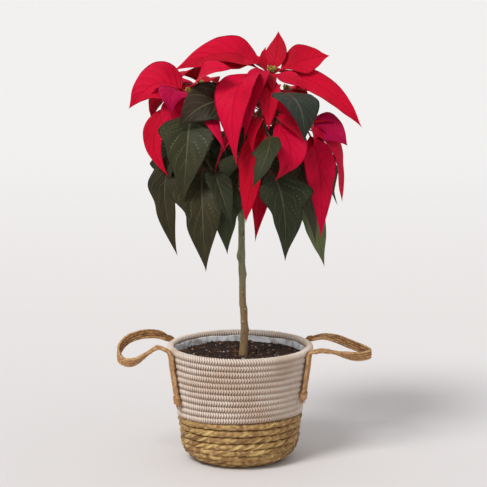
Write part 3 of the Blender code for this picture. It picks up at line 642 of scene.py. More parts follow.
leftLoop = (
    (-94, -33, 147, 0),
    (-103, -30, 148, 5),
    (-115, -26, 140, 25),
    (-130, -20, 129, 50),
    (-141, -12, 125, 70),
    (-150, -4, 128, 90),
    (-152, 4, 136, 90),
    (-147, 13, 144, 90),
    (-137, 20, 150, 85),
    (-121, 26, 153, 75),
    (-105, 30, 152, 50),
    (-94, 33, 147, 10),
)
rightLoop = (
    (94, -33, 144, 0),
    (103, -29, 144, 0),
    (117, -24, 141, 15),
    (131, -20, 137, 45),
    (147, -13, 133, 80),
    (159, -6, 133, 90),
    (163, 0, 134, 90),
    (159, 6, 136, 90),
    (149, 13, 139, 85),
    (136, 19, 143, 70),
    (123, 25, 147, 45),
    (107, 30, 149, 15),
    (94, 33, 146, 0),
)


def strapFinish():
    made, tree, shader = newFinish("strapStraw", 0.72, 0.2)
    crest, tone, inside = shades(tree)
    streak = mottle(tree, 700.0, 3.0, 0.6)
    mixed = reckon(tree, "ADD", reckon(tree, "MULTIPLY", tone, 0.6), reckon(tree, "MULTIPLY", streak, 0.4))
    # painted shade: the cord faces turned towards the basket's axis are darker
    mixed = reckon(tree, "SUBTRACT", mixed, reckon(tree, "MULTIPLY", inside, 0.22))
    body = ramp(tree, mixed, (0.15, strap["brown"]), (0.5, strap["tan"]), (0.95, strap["pale"]))
    # painted shade: the grooves between the strands are darkened to the dark colour
    colour = mixColours(tree, between(tree, crest, 0.0, 0.6), strap["dark"], body)
    feed(tree, shader.inputs["Base Color"], colour)
    feed(tree, shader.inputs["Normal"], bump(tree, mottle(tree, 1800.0, 3.0), 0.35))
    return made


def strapRoute(side, loop):  # centres, headings and width directions, as in the model
    sign = -1 if side == "left" else 1
    rest = strap["cord"] + gap + 0.2
    bottom = strap["legEnds"][side]
    legs = {}
    for end in (-1, 1):
        around = math.radians(strap["splay"]) * end
        out = Vector((sign * math.cos(around), math.sin(around) * basket["depth"], 0))
        leg = []
        for share in (0.0, 0.33, 0.66, 0.93):
            z = bottom + (basket["height"] - bottom) * share
            leg.append(Vector((*(out * (wallRadius(z) + rest) + up * z), 0)))
        legs[end] = leg
    knots = legs[-1] + [Vector(point) for point in loop] + legs[1][::-1]
    line = smoothLine(knots, strap["points"])
    route = []
    for i, here in enumerate(line):
        run = line[min(i + 1, len(line) - 1)] - line[max(i - 1, 0)]
        ahead = run.to_3d().normalized()
        place = here.to_3d()
        around = Vector((-place.y, place.x, 0)).normalized()
        if around.y * place.y < 0:
            around.negate()
        stand = math.radians(min(90.0, max(0.0, here.w)))
        across = around * math.cos(stand) + up * math.sin(stand)
        across = (across - ahead * across.dot(ahead)).normalized()
        route.append((place, ahead, across))
    return route


def strapCord(pile, route, index):
    sides = strap["sides"]
    offset = index - (strap["cords"] - 1) / 2
    hand = 1 if index % 2 else -1
    outer = abs(offset) > 1
    points, shade = [], []
    along = 0.0
    for i, (centre, ahead, across) in enumerate(route):
        if i:
            along += (centre - route[i - 1][0]).length
        flat = ahead.cross(across)
        drift = 0.22 * noise.noise(centre * 0.07 + Vector((index, 0, 0)))
        middle = centre + across * (strap["cord"] * offset + drift)
        twist = hand * 2 * math.pi * along / strap["lay"] + 0.9 * noise.noise(centre * 0.05)
        fat = 1.0 + 0.09 * noise.noise(centre * 0.12 + Vector((index, 0, 0)))
        deep = strap["deep"] * (0.84 if outer else 1.0)
        for k in range(sides):
            turn = 2 * math.pi * k / sides
            phase = strap["strands"] * (turn - twist) / 2
            lobe = abs(math.cos(phase)) ** 0.6
            strand = math.floor(phase / math.pi + 0.5)
            tone = 0.5 + 0.8 * noise.noise(Vector((strand * 2.7, along * 0.09, index * 3.1)))
            shrink = strap["groove"] * (1 - lobe)
            wide = across * math.cos(turn) * (strap["half"] * fat - shrink * 0.4)
            thick = flat * math.sin(turn) * (deep * fat - shrink)
            points.append(middle + wide + thick)
            # marks the faces turned towards the basket's axis, for their painted shade
            toAxis = (wide + thick).dot(Vector((-centre.x, -centre.y, 0)).normalized())
            inside = 1.0 if toAxis > 0.8 else 0.0
            shade.append((lobe, min(1.0, max(0.0, tone + (0.15 if outer else 0.0))), inside))
    faces = gridFaces(len(route), sides, closeWide=True)
    faces.append(tuple(range(sides))[::-1])
    faces.append(tuple(range(len(points) - sides, len(points))))
    pile.add(points, faces, shade)


def strapKnot(pile, place, ahead, across, rng):  # turns of one fine cord, and a frayed end
    flat = ahead.cross(across)
    for wrap in range(strap["wraps"]):
        ring = []
        steps = 26
        lift = (wrap - 1) * 2.3
        for i in range(steps):
            turn = 2 * math.pi * i / (steps - 1)
            wide = across * math.cos(turn) * strap["cord"] * 2.12
            deep = flat * math.sin(turn) * strap["cord"] * 1.12
            ring.append(place + wide + deep + ahead * (lift + 0.6 * turn / math.pi))
        points, faces = sweep(ring, [1.15] * steps, 8, lambda i, turn: 0.14 * math.sin(3 * turn + i))
        pile.add(points, faces, (0.8, rng.random(), 0.0))
    for _ in range(strap["tuft"]):
        start = place + across * rng.uniform(-4.5, 4.5) + flat * rng.uniform(-1.2, 1.2) + ahead * 2
        end = start - ahead * rng.uniform(7, 13) + across * rng.uniform(-2.4, 2.4) + flat * rng.uniform(-1, 1)
        line = smoothLine([start, start.lerp(end, 0.5) + across * rng.uniform(-0.8, 0.8), end], 7)
        points, faces = sweep(line, [0.55, 0.6, 0.6, 0.55, 0.5, 0.4, 0.2], 5)
        pile.add(points, faces, (0.9, rng.random(), 0.0))


def strapFibres(pile, route, rng):  # thin ends that stand off the cords
    for _ in range(strap["fibres"]):
        i = rng.randrange(6, len(route) - 6)
        centre, ahead, across = route[i]
        flat = ahead.cross(across)
        turn = rng.uniform(0, 2 * math.pi)
        out = across * math.cos(turn) + flat * math.sin(turn)
        side = across * strap["cord"] * rng.choice((-1.5, -0.5, 0.5, 1.5))
        start = centre + side + flat * (strap["deep"] - 0.5) * math.sin(turn)
        way = ahead * rng.choice((-1, 1))
        reach = rng.uniform(3, 7)
        line = [start, start + way * reach * 0.5 + out * 0.5, start + way * reach + out * rng.uniform(0.2, 1.5)]
        points, faces = sweep(smoothLine(line, 5), [0.22, 0.24, 0.22, 0.18, 0.08], 4)
        pile.add(points, faces, (1.0, rng.random(), 0.0))


def strapHandle(side, loop, finish):
    rng = random.Random(seed + len(side))
    route = strapRoute(side, loop)
    pile = Pile()
    for index in range(strap["cords"]):
        strapCord(pile, route, index)
    for place, ahead, across in (route[4], route[-5]):
        downwards = ahead if ahead.z > 0 else -ahead
        strapKnot(pile, place, downwards, across, rng)
    strapFibres(pile, route, rng)
    pile.make("handle_strap_" + side, finish, "plaited_strap", ["handle_" + side])


strapStraw = strapFinish()
strapHandle("left", leftLoop, strapStraw)
strapHandle("right", rightLoop, strapStraw)
print("stage: handles done")


# Liner: a thin film between the rope and the soil, creased where it stands free

film = {
    "top": 140.0,
    "thick": 0.45,
    "around": 260,
    "rows": 12,  # over the soil
    "crease": 1.9,
    "crumple": 200.0,  # degrees round, where it stands highest and is creased most
    "rise": 3.6,  # how much higher it stands there
    "colour": (0.70, 0.71, 0.74),
    "bright": (0.84, 0.84, 0.86),
    # painted shade colour for the film's creases
    "creaseShade": (0.50, 0.46, 0.45),
}
soilBed = {
    "top": 132.5,
    "lump": 1.4,
    "around": 132,
    "rings": 34,
    "middle": 3.8,
    "chips": 300,
    "grains": 210,
    "crumbs": 640,
    "bits": 26,
    "dark": (0.010, 0.006, 0.005),
    "brown": (0.052, 0.025, 0.016),
    "chip": (0.15, 0.070, 0.040),
    "grain": (0.70, 0.57, 0.50),
    "moss": (0.24, 0.22, 0.045),
}


def innerRadius(z):  # of the basket's wall
    inside = basket["joinRadius"] - basket["wall"]
    share = (z - basket["joinHeight"]) / (basket["height"] - basket["joinHeight"])
    return inside + (basket["rimRadius"] - basket["joinRadius"]) * share


def innerProfile(inset, top):  # radius and height from the floor's middle to a height
    floor = basket["wall"] + inset
    corner = basket["shoulderRadius"] - basket["wall"] - inset
    return [
        (0.5, floor),
        (basket["footRadius"] - 2 - inset, floor),
        (corner - 4.5, basket["shoulderHeight"] * 0.55 + inset * 0.6),
        (corner, basket["shoulderHeight"] + 4),
        (basket["joinRadius"] - basket["wall"] - inset, basket["joinHeight"]),
        (innerRadius(top) - inset, top),
    ]


def filmFinish():
    made, tree, shader = newFinish("linerFilm", 0.32, 0.5)
    crease, _, _ = shades(tree)
    patch = mottle(tree, 60.0, 2.0)
    lit = mixColours(tree, between(tree, patch, 0.3, 0.7), film["colour"], film["bright"])
    # painted shade: the film is darkened where it folds in
    colour = mixColours(tree, between(tree, crease, 0.6, 1.0), lit, film["creaseShade"])
    feed(tree, shader.inputs["Base Color"], colour)
    feed(tree, shader.inputs["Normal"], bump(tree, mottle(tree, 260.0, 3.0), 0.5))
    return made


def linerFilm():
    low = soilBed["top"] - 7
    profile = innerProfile(0.55, low)
    for i in range(1, film["rows"] + 1):
        z = low + (film["top"] - low) * i / film["rows"]
        profile.append((innerRadius(z) - 0.55, z))
    outer, inner, creases = [], [], []
    for radius, z in profile:
        free = min(1.0, max(0.0, (z - soilBed["top"] + 1) / 6))
        for k in range(film["around"]):
            turn = 2 * math.pi * k / film["around"]
            apart = (math.degrees(turn) - film["crumple"] + 180) % 360 - 180
            wild = math.exp(-((apart / 32) ** 2))
            spot = Vector((math.cos(turn), math.sin(turn), 0)) * (5.2 + 2.5 * wild)
            fold = 1 - abs(noise.noise(spot + up * z * 0.05)) * 2.2
            fine = noise.noise(spot * 3.1 + up * z * 0.11)
            sink = film["crease"] * (1 + 0.9 * wild) * free * max(0.0, 0.5 * fold + 0.6 * fine)
            here = radius - sink * 0.85
            sag = free * (1.6 * noise.noise(spot * 0.55 + up) + 0.9 * fine + film["rise"] * wild)
            height = z + sag - free * 0.6 if z > soilBed["top"] else z
            around = turn + 0.01 * free * noise.noise(spot * 2 + up * 7)
            for grid, thick in ((outer, 0.0), (inner, film["thick"])):
                flat = max(here - thick, 0.2)
                grid.append((flat * math.cos(around), flat * math.sin(around), height + thick))
            creases.append((max(0.0, fold), 0.5, 0.0))
    rows = len(profile)
    wide = film["around"]
    count = len(outer)
    faces = gridFaces(rows, wide, closeWide=True)
    faces += [tuple(count + i for i in face[::-1]) for face in faces]
    for k in range(wide):
        after = (k + 1) % wide
        last = (rows - 1) * wide
        faces.append((last + k, last + after, count + last + after, count + last + k))
        faces.append((after, k, count + k, count + after))
    pile = Pile()
    pile.add(outer + inner, faces, creases + creases)
    pile.make("liner_film", filmFinish(), "plastic_film", ["liner"], depth=basket["depth"])


def soilFinish(name, colour, light, rough=0.95):
    made, tree, shader = newFinish(name, rough, 0.25)
    _, tone, _ = shades(tree)
    patch = mottle(tree, 320.0, 4.0, 0.65)
    mixed = reckon(tree, "ADD", reckon(tree, "MULTIPLY", tone, 0.5), reckon(tree, "MULTIPLY", patch, 0.5))
    feed(tree, shader.inputs["Base Color"], ramp(tree, mixed, (0.2, colour), (0.8, light)))
    feed(tree, shader.inputs["Normal"], bump(tree, mottle(tree, 900.0, 5.0, 0.7), 0.7))
    return made


def soilHeight(x, y):
    spot = Vector((x, y, 0))
    rough = soilBed["lump"] * noise.noise(spot * 0.045) + 1.0 * noise.noise(spot * 0.16)
    return soilBed["top"] + rough + 0.75 * noise.noise(spot * 0.45) + 0.4 * noise.noise(spot * 1.1)


def pottingSoil():
    profile = innerProfile(1.2, soilBed["top"] - 3)
    edge = profile[-1][0]
    rings = [(radius, z, False) for radius, z in profile]
    for i in range(soilBed["rings"]):
        share = 1 - (i + 0.5) / soilBed["rings"]
        rings.append((share * edge, 0.0, True))
    points = []
    for radius, z, top in rings:
        for k in range(soilBed["around"]):
            turn = 2 * math.pi * k / soilBed["around"]
            x = radius * math.cos(turn) + (soilBed["middle"] * (1 - radius / edge) if top else 0.0)
            y = radius * math.sin(turn)
            points.append((x, y, soilHeight(x, y) if top else z))
    wide = soilBed["around"]
    faces = gridFaces(len(rings), wide, closeWide=True)
    faces.append(tuple(range(wide)))
    faces.append(tuple(range(len(points) - wide, len(points))))
    pile = Pile()
    pile.add(points, faces, (0.5, 0.4, 0.0))
    finish = soilFinish("moistSoil", soilBed["dark"], soilBed["brown"])
    pile.make("potting_soil", finish, "potting_soil", ["soil"], depth=basket["depth"])
    scatter("bark_chips", soilBed["chips"], (1.4, 4.6), (0.35, 1.0), soilBed["dark"], soilBed["chip"], 3)
    scatter("perlite_grains", soilBed["grains"], (0.6, 2.1), (0.5, 1.0), soilBed["chip"], soilBed["grain"], 4)
    scatter("soil_crumbs", soilBed["crumbs"], (0.6, 1.6), (0.6, 1.0), soilBed["dark"], soilBed["brown"], 5)
    scatter("moss_bits", soilBed["bits"], (0.8, 2.6), (0.4, 0.8), soilBed["chip"], soilBed["moss"], 6, 16.0)


def pebble():
    bm = bmesh.new()
    bmesh.ops.create_icosphere(bm, subdivisions=1, radius=1.0)
    points = [vert.co.copy() for vert in bm.verts]
    faces = [tuple(vert.index for vert in face.verts) for face in bm.faces]
    bm.free()
    return points, faces


def scatter(name, count, sizes, flatness, colour, light, draw, reach=0.0):
    rng = random.Random(seed + draw)
    shape, faces = pebble()
    pile = Pile()
    edge = reach or innerRadius(soilBed["top"]) - 3.0
    for _ in range(count):
        radius = math.sqrt(rng.uniform(49.0, edge**2))
        around = rng.uniform(0, 2 * math.pi)
        x, y = radius * math.cos(around), radius * math.sin(around)
        if reach:
            x += soilBed["middle"]
        size = sizes[0] + (sizes[1] - sizes[0]) * rng.random() ** 2.2
        stretch = Vector((size, size * rng.uniform(0.4, 0.8), size * rng.uniform(*flatness) * 0.6))
        spin = Quaternion(up, rng.uniform(0, 6.28)) @ Quaternion((1, 0, 0), rng.gauss(0, 0.35))
        seat = Vector((x, y, soilHeight(x, y) + stretch.z * 0.35))
        offset = Vector((rng.random(), rng.random(), rng.random())) * 40
        points = []
        for corner in shape:
            rough = 1 + 0.35 * noise.noise(corner * 1.3 + offset)
            points.append(seat + spin @ (corner * rough * stretch))
        pile.add(points, faces, (0.5, rng.random(), 0.0))
    finish = soilFinish(name + "_finish", colour, light)
    pile.make(name, finish, "potting_soil", depth=basket["depth"])


linerFilm()
pottingSoil()
print("stage: liner and soil done")


# Trunk

trunk = {
    "line": (  # x, y, z and radius
        (3.6, 0, 78, 5.0),
        (3.6, 0, 112, 5.4),
        (4.0, 0, 131, 5.5),
        (5.0, 0, 150, 4.9),
        (5.8, 0, 164, 4.9),
        (5.2, 0, 177, 4.5),
        (4.8, 0, 190, 4.7),
        (3.4, 0, 200, 4.3),
        (3.0, 0, 228, 4.2),
        (2.7, 0, 240, 4.6),
        (2.3, 0, 250, 4.2),
        (1.8, 0, 261, 4.8),
        (2.0, 0, 273, 4.2),
        (2.0, 0, 300, 4.1),
        (1.0, 0, 326, 4.5),
        (0.0, 0, 345, 4.7),
    ),
    "modelPoints": 28,
    "rows": 260,
    "sides": 36,
    "scars": (  # height, direction round the trunk, half height, half width, swell
        (258, 185, 4.2, 0.75, 1.5),
        (235, -10, 4.0, 0.7, 1.3),
        (192, -70, 3.0, 0.6, 0.7),
        (176, -120, 2.4, 1.2, 0.6),
        (214, -95, 2.2, 0.5, 0.5),
        (164, 5, 3.0, 0.7, 0.9),
        (150, -150, 2.6, 0.6, 0.6),
        (283, -60, 2.6, 0.6, 0.7),
        (306, 200, 3.0, 0.7, 0.8),
        (245, 90, 3.0, 0.7, 1.0),
        (200, 120, 3.0, 0.7, 0.9),
        (222, 60, 2.6, 0.6, 0.7),
        (141, 80, 3.0, 0.7, 0.7),
    ),
    "lower": (0.30, 0.185, 0.085),
    "upper": (0.20, 0.205, 0.105),
    "scar": (0.46, 0.36, 0.20),
    "dark": (0.085, 0.055, 0.028),
}


def trunkPoints(count):
    line = smoothLine([Vector(point) for point in trunk["line"]], count)
    return [point.to_3d() for point in line], [point.w for point in line]


def barkFinish():
    made, tree, shader = newFinish("youngBark", 0.62, 0.35)
    height, scar, ring = shades(tree)
    patch = mottle(tree, 90.0, 4.0, 0.6)
    rise = reckon(tree, "ADD", height, reckon(tree, "MULTIPLY", patch, 0.35))
    skin = mixColours(tree, between(tree, rise, 0.42, 0.78), trunk["lower"], trunk["upper"])
    streak = mottle(tree, 420.0, 4.0, 0.65, (1.0, 1.0, 0.18))
    skin = mixColours(tree, between(tree, streak, 0.50, 0.72), skin, trunk["dark"])
    specks = between(tree, cells(tree, 520.0, "F1"), 0.30, 0.12)
    skin = mixColours(tree, reckon(tree, "MULTIPLY", specks, 0.45), skin, trunk["scar"])
    skin = mixColours(tree, between(tree, ring, 0.3, 0.9), skin, trunk["dark"])
    colour = mixColours(tree, between(tree, scar, 0.35, 0.8), skin, trunk["scar"])
    feed(tree, shader.inputs["Base Color"], colour)
    rough = bump(tree, streak, 0.45)
    feed(tree, shader.inputs["Normal"], bump(tree, patch, 0.5, rough))
    return made


def woodyTrunk():
    line, radii = trunkPoints(trunk["rows"])
    sides = trunk["sides"]
    points, shade = [], []
    for i, here in enumerate(line):
        ahead = (line[min(i + 1, len(line) - 1)] - line[max(i - 1, 0)]).normalized()
        across = Vector((1, 0, 0)) - ahead * ahead.x
        across.normalize()
        over = ahead.cross(across)
        for k in range(sides):
            turn = 2 * math.pi * k / sides
            out = across * math.cos(turn) + over * math.sin(turn)
            swell, scarred, ringed = 0.0, 0.0, 0.0
            for z, degrees, tall, wide, lift in trunk["scars"]:
                if abs(here.z - z) > 12:
                    continue
                apart = (turn - math.radians(degrees) + math.pi) % (2 * math.pi) - math.pi
                off = ((here.z - z) / tall) ** 2 + (apart / wide) ** 2
                swell += lift * math.exp(-off)
                scarred = max(scarred, math.exp(-off * 3.5))
                ringed = max(ringed, math.exp(-(((here.z - z - 1.5) / 0.7) ** 2)) * (0.6 + 0.4 * math.cos(apart)))
            rough = 0.22 * noise.noise(out * 2.2 + here * 0.05) + 0.12 * noise.noise(out * 4 + here * 0.4)
            dent = -0.45 * max(0.0, scarred - 0.6)
            points.append(here + out * (radii[i] + swell + rough + dent - 0.2 * ringed))
            shade.append(((here.z - 128) / 217, scarred, ringed * 0.8))
    faces = gridFaces(len(line), sides, closeWide=True)
    faces.append(tuple(range(sides))[::-1])
    faces.append(tuple(range(len(points) - sides, len(points))))
    pile = Pile()
    pile.add(points, faces, shade)
    pile.make("woody_trunk", barkFinish(), "bark", ["trunk"])


woodyTrunk()
print("stage: trunk done")


# Shoots: centre of each bloom, height where its shoot leaves the trunk, and lean at its end

shoots = {
    "top": ((37, -15, 485), 345, (0.15, -0.25, 1.0)),
    "left": ((-61, -10, 459), 337, (0.0, -0.5, 0.9)),
    "front": ((31, -70, 440), 329, (0.1, -0.6, 0.9)),
    "right": ((80, -20, 420), 339, (0.6, -0.2, 0.8)),
    "back_left": ((-48, 58, 462), 328, (-0.4, 0.5, 0.9)),
    "back_right": ((56, 52, 457), 325, (0.4, 0.5, 0.9)),
    "back": ((6, 78, 415), 337, (0.0, 0.7, 0.8)),
}
shootForm = {
    "radius": 2.6,
    "modelPoints": 9,
    "lean": 50.0,
    "coreRadius": 4.6,
    "coreHeight": 8.0,
    "cyathiaRing": 3.6,
    "cupRadius": 2.3,
    "cupHeight": 5.6,
}

# Blades of the front: shoot, shoulder, tip, width, roll about the midrib, wave
seenBracts = (
    ("top", (-38, -104, 505), (-3, -106, 384), 54, 10, 0.05),
    ("top", (-3, -25, 531), (-80, -42, 491), 52, -48, 0.04),
    ("top", (100, -18, 490), (149, -20, 420), 42, 42, 0.05),
    ("top", (48, 8, 508), (47, 15, 536), 28, 0, 0.04),
    ("top", (84, 0, 506), (110, 6, 506), 40, 50, 0.06),
    ("top", (23, -74, 512), (5, -98, 411), 26, -10, 0.06),
    ("top", (58, -48, 490), (78, -54, 470), 24, 25, 0.05),
    ("top", (24, -14, 500), (32, -18, 519), 13, 0, 0.04),
    ("top", (42, -46, 492), (40, -60, 463), 13, 0, 0.04),
    ("left", (-99, -6, 496), (-136, -8, 442), 54, -58, 0.05),
    ("left", (-90, -46, 481), (-80, -50, 440), 38, -25, 0.06),
    ("left", (-42, -86, 505), (-8, -89, 497), 32, 52, 0.05),
    ("left", (-127, -25, 415), (-86, -30, 361), 28, -25, 0.08),
    ("left", (-45, -90, 452), (-17, -94, 400), 20, 10, 0.08),
    ("front", (72, -112, 409), (41, -106, 367), 40, 0, 0.12),
    ("front", (58, -92, 446), (80, -98, 402), 22, 20, 0.06),
    ("front", (14, -98, 388), (7, -98, 315), 44, 0, 0.06),
    ("front", (10, -90, 440), (16, -100, 398), 22, 20, 0.06),
    ("right", (104, -18, 430), (131, -27, 399), 44, 55, 0.06),
    ("right", (104, -76, 392), (97, -70, 292), 38, 10, 0.07),
    ("right", (124, -26, 410), (125, -24, 329), 40, 20, 0.08),
    ("back", (24, 84, 380), (19, 52, 266), 42, 0, 0.04),
    ("top", (-11, -45, 516), (-60, -54, 498), 30, -20, 0.05),
    ("left", (-95, -24, 448), (-72, -30, 398), 34, -20, 0.05),
    ("front", (-12, -70, 432), (-30, -76, 372), 38, -10, 0.05),
    ("top", (32, -72, 470), (34, -98, 425), 27, 0, 0.06),
    ("right", (92, 14, 438), (118, 8, 380), 44, 20, 0.05),
)
seenLeaves = (  # shoot, share of the shoot where they leave it, then as above
    ("top", 0.80, (94, -116, 493), (75, -113, 413), 58, -8, 0.03),
    ("left", 0.80, (-57, -100, 464), (-67, -92, 340), 64, 0, 0.04),
    ("front", 0.50, (60, -112, 384), (54, -93, 268), 60, 0, 0.03),
    ("left", 0.45, (-65, -108, 386), (-40, -93, 255), 58, 0, 0.04),
    ("top", 0.70, (-36, -78, 480), (-72, -80, 428), 56, -55, 0.06),
    ("front", 0.88, (32, -146, 424), (14, -140, 363), 32, 20, 0.03),
    ("left", 0.30, (-20, -120, 388), (-9, -116, 313), 34, -15, 0.04),
    ("left", 0.62, (-112, -34, 382), (-76, -36, 264), 34, -30, 0.06),
    ("right", 0.45, (79, -34, 364), (104, -26, 249), 58, 30, 0.03),
    ("top", 0.12, (-20, -54, 351), (-15, -58, 270), 36, 0, 0.03),
    ("right", 0.62, (84, -60, 386), (92, -50, 282), 40, 0, 0.04),
)
bractTones = {1: 0.55, 0: 0.62, 2: 0.5, 5: 0.7, 10: 0.95, 18: 1.0, 9: 0.6, 12: 0.45, 13: 0.75}
leafTones = {0: 0.72, 1: 0.38, 2: 0.50, 3: 0.28, 4: 0.02, 5: 0.45, 6: 0.58, 7: 0.25, 8: 0.98, 9: 0.80}

# Blades by rule, for each shoot: how many, their middle direction and their spread
fillBracts = {
    "top": (2, 95, 120),
    "left": (3, 130, 140),
    "right": (3, 15, 120),
    "back_left": (6, 135, 250),
    "back_right": (6, 43, 330),
    "back": (5, 88, 290),
}
fillLeaves = {
    "top": (1, 80, 60),
    "left": (2, 170, 80),
    "right": (2, 10, 70),
    "back_left": (3, 135, 110),
    "back_right": (3, 40, 110),
    "back": (3, 105, 110),
}
innerLeaves = {
    "top": (1, -100, 40),
    "left": (2, -60, 150),
    "front": (2, -150, 160),
    "right": (1, -100, 100),
    "back_left": (3, -60, 170),
    "back_right": (2, -130, 150),
    "back": (3, -90, 170),
}

bladeForm = {
    "stalk": 1.7,
    "stalkHalf": 1.1,
    "belly": 0.85,
    "taper": 1.35,
    "lobeShare": 0.40,
    "bractStalk": 0.12,
    "leafStalk": 0.26,
    "bractStations": (0.0, 0.14, 0.34, 0.57, 0.80, 1.0),
    "leafStations": (0.0, 0.26, 0.40, 0.55, 0.68, 0.84, 1.0),
    "fillBractStations": (0.0, 0.14, 0.40, 0.70, 1.0),
    "fillLeafStations": (0.0, 0.26, 0.42, 0.60, 0.80, 1.0),
    "columns": 4,
    "fillColumns": 2,
    "match": 0.6,  # how near the model's surface the midrib is
    "swingStep": 6,
    "seenSwing": 18,
    "fillSwing": 48,
    "headRadius": 138.0,
    "headNarrow": 0.82,
}
bladeSkin = {
    "edge": 0.16,  # half the thickness that is seen
    "rib": 0.75,  # height of the midrib underneath
    "ribWide": 1.1,
    "veins": 8.0,  # side veins on each side
    "veinSlope": 0.26,  # how far they run forwards to the edge, as a share of the length
    "puff": 0.016,  # of the fields between the veins, as a share of the width
    "frill": 0.014,
    "long": 46,
    "wide": 18,
    "fillLong": 30,
    "fillWide": 12,
}


def newBlade(node, root, shoulder, tip, width, roll, wave, draw, seen=False):
    rng = random.Random(draw)
    leafy = node.startswith("shoot")
    stations = bladeForm[("leafStations" if leafy else "bractStations") if seen else
                         ("fillLeafStations" if leafy else "fillBractStations")]
    return {
        "node": node,
        "leafy": leafy,
        "seen": seen,
        "draw": draw,
        "root": Vector(root),
        "shoulder": Vector(shoulder),
        "tip": Vector(tip),
        "width": width,
        "roll": math.radians(roll),
        "wave": wave,
        "columns": bladeForm["columns" if seen else "fillColumns"],
        "stalk": bladeForm["leafStalk" if leafy else "bractStalk"],
        "stations": stations,
        "lobes": [rng.uniform(0.0, 0.5) if leafy else rng.uniform(-0.05, 0.08) for _ in "lr"],
        "phases": [rng.uniform(0, 2 * math.pi) for _ in "lr"],
        "waves": rng.uniform(0.9, 1.4),
        "fold": rng.uniform(0.0, 0.3),
        "sway": rng.uniform(-0.05, 0.05),
    }


def halfWidth(spec, share, side):
    if share <= spec["stalk"]:
        return bladeForm["stalkHalf"]
    u = (share - spec["stalk"]) / (1 - spec["stalk"])
    belly, taper = bladeForm["belly"], bladeForm["taper"]
    peak = belly / (belly + taper)
    full = (u / peak) ** belly * ((1 - u) / (1 - peak)) ** taper
    lobe = math.exp(-(((u - bladeForm["lobeShare"]) / 0.09) ** 2))
    dip = math.exp(-(((u - bladeForm["lobeShare"] - 0.17) / 0.08) ** 2))
    full *= 1 + spec["lobes"][side] * (0.7 * lobe - 0.5 * dip)
    return max(spec["width"] / 2 * full, bladeForm["stalkHalf"] * (1 - u))


def bladeRows(spec, turn, dip, stations, columns, fine=False):
    root = spec["root"]
    reach = spec["tip"] - root
    radial = Vector((reach.x, reach.y, 0)).normalized()
    left = up.cross(radial)
    swing = Quaternion(up, math.radians(turn)) @ Quaternion(left, math.radians(dip))
    shoulder = root + swing @ (spec["shoulder"] - root)
    tip = root + swing @ (spec["tip"] - root)
    left = swing @ left
    length = (shoulder - root).length + (tip - shoulder).length
    rows = []
    for share in stations:
        a = root.lerp(shoulder, share)
        b = shoulder.lerp(tip, share)
        ahead = (b - a).normalized()
        over = ahead.cross(left).normalized()
        side = over.cross(ahead)
        centre = a.lerp(b, share) + side * spec["sway"] * length * math.sin(math.pi * share)
        roll = Quaternion(ahead, spec["roll"] * min(1.0, share / 0.4))
        side = roll @ side
        over = roll @ over
        row = []
        for column in range(columns + 1):
            v = 1 - 2 * column / columns
            hand = 0 if v > 0 else 1
            half = halfWidth(spec, share, hand)
            ripple = math.sin(2 * math.pi * spec["waves"] * share + spec["phases"][hand])
            rise = spec["fold"] * abs(v) * half + spec["wave"] * spec["width"] * v * v * ripple
            if share <= spec["stalk"]:
                rise = 0.0
            if fine and share > spec["stalk"]:
                rise += bladeDetail(spec, share, v)
            row.append(centre + side * v * half + over * rise * min(1.0, half / 8))
        rows.append(row)
    return rows


def bladeDetail(spec, share, v):  # puffed fields between the veins, and a frilled edge
    u = (share - spec["stalk"]) / (1 - spec["stalk"])
    phase = (u - bladeSkin["veinSlope"] * abs(v)) * bladeSkin["veins"] * 2 * math.pi
    field = -math.cos(phase) * math.sin(math.pi * min(1.0, abs(v))) * (1 - u) ** 0.5
    hand = 1 if v > 0 else 2
    spot = Vector((u * 3.5, v * 1.5, spec["draw"] * 1.37 + hand))
    frill = noise.noise(spot * 2.0) * abs(v) ** 2.5
    broad = noise.noise(spot * 0.8) * 0.5 * abs(v)
    return spec["width"] * (bladeSkin["puff"] * field + bladeSkin["frill"] * (2.2 * frill + 2.4 * broad))


def swings(most):
    steps = range(-most, most + 1, bladeForm["swingStep"])
    pairs = [(turn, dip) for turn in steps for dip in steps]
    return sorted(pairs, key=lambda pair: (pair[0] ** 2 + pair[1] ** 2, pair))


def nodeTree(name):  # the model's own surface, to find where its blades are
    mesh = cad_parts[name].data
    points = [vert.co / mm for vert in mesh.vertices]
    return BVHTree.FromPolygons(points, [tuple(face.vertices) for face in mesh.polygons])


def findSwing(spec, tree):  # the swing that the model gave a blade, or None where it has none
    middle = spec["columns"] // 2
    for turn, dip in swings(bladeForm["seenSwing" if spec["seen"] else "fillSwing"]):
        rows = bladeRows(spec, turn, dip, spec["stations"], spec["columns"])
        if all(tree.find_nearest(row[middle], bladeForm["match"])[0] for row in rows[2:][::-1]):
            return turn, dip
    return None


# The head: every blade with its place, by the model's rules


def trunkLine():
    return trunkPoints(trunk["modelPoints"])


def shootLine(name, count):
    bloom, height, lean = shoots[name]
    bloom = Vector(bloom)
    lean = Vector(lean).normalized()
    line, radii = trunkLine()
    near = min(range(len(line)), key=lambda i: abs(line[i].z - height))
    out = Vector((bloom.x, bloom.y, 0)).normalized()
    if name == "top":
        start = line[-1] + up * gap
        away = up
    else:
        tilt = math.radians(shootForm["lean"])
        away = out * math.sin(tilt) + up * math.cos(tilt)
        start = line[near] + out * (radii[near] + gap + 0.2 + shootForm["radius"] * math.cos(tilt))
        start.z = height
    end = bloom - lean * (shootForm["coreHeight"] / 2 + gap)
    pull = (end - start).length * 0.36
    a, b, c, d = start, start + away * pull, end - lean * pull, end
    line = []
    for i in range(count):
        t = i / (count - 1)
        u = 1 - t
        line.append(a * u**3 + b * (3 * u * u * t) + c * (3 * u * t * t) + d * t**3)
    return line


def alongLine(line, share):
    place = share * (len(line) - 1)
    k = min(int(place), len(line) - 2)
    return line[k].lerp(line[k + 1], place - k)


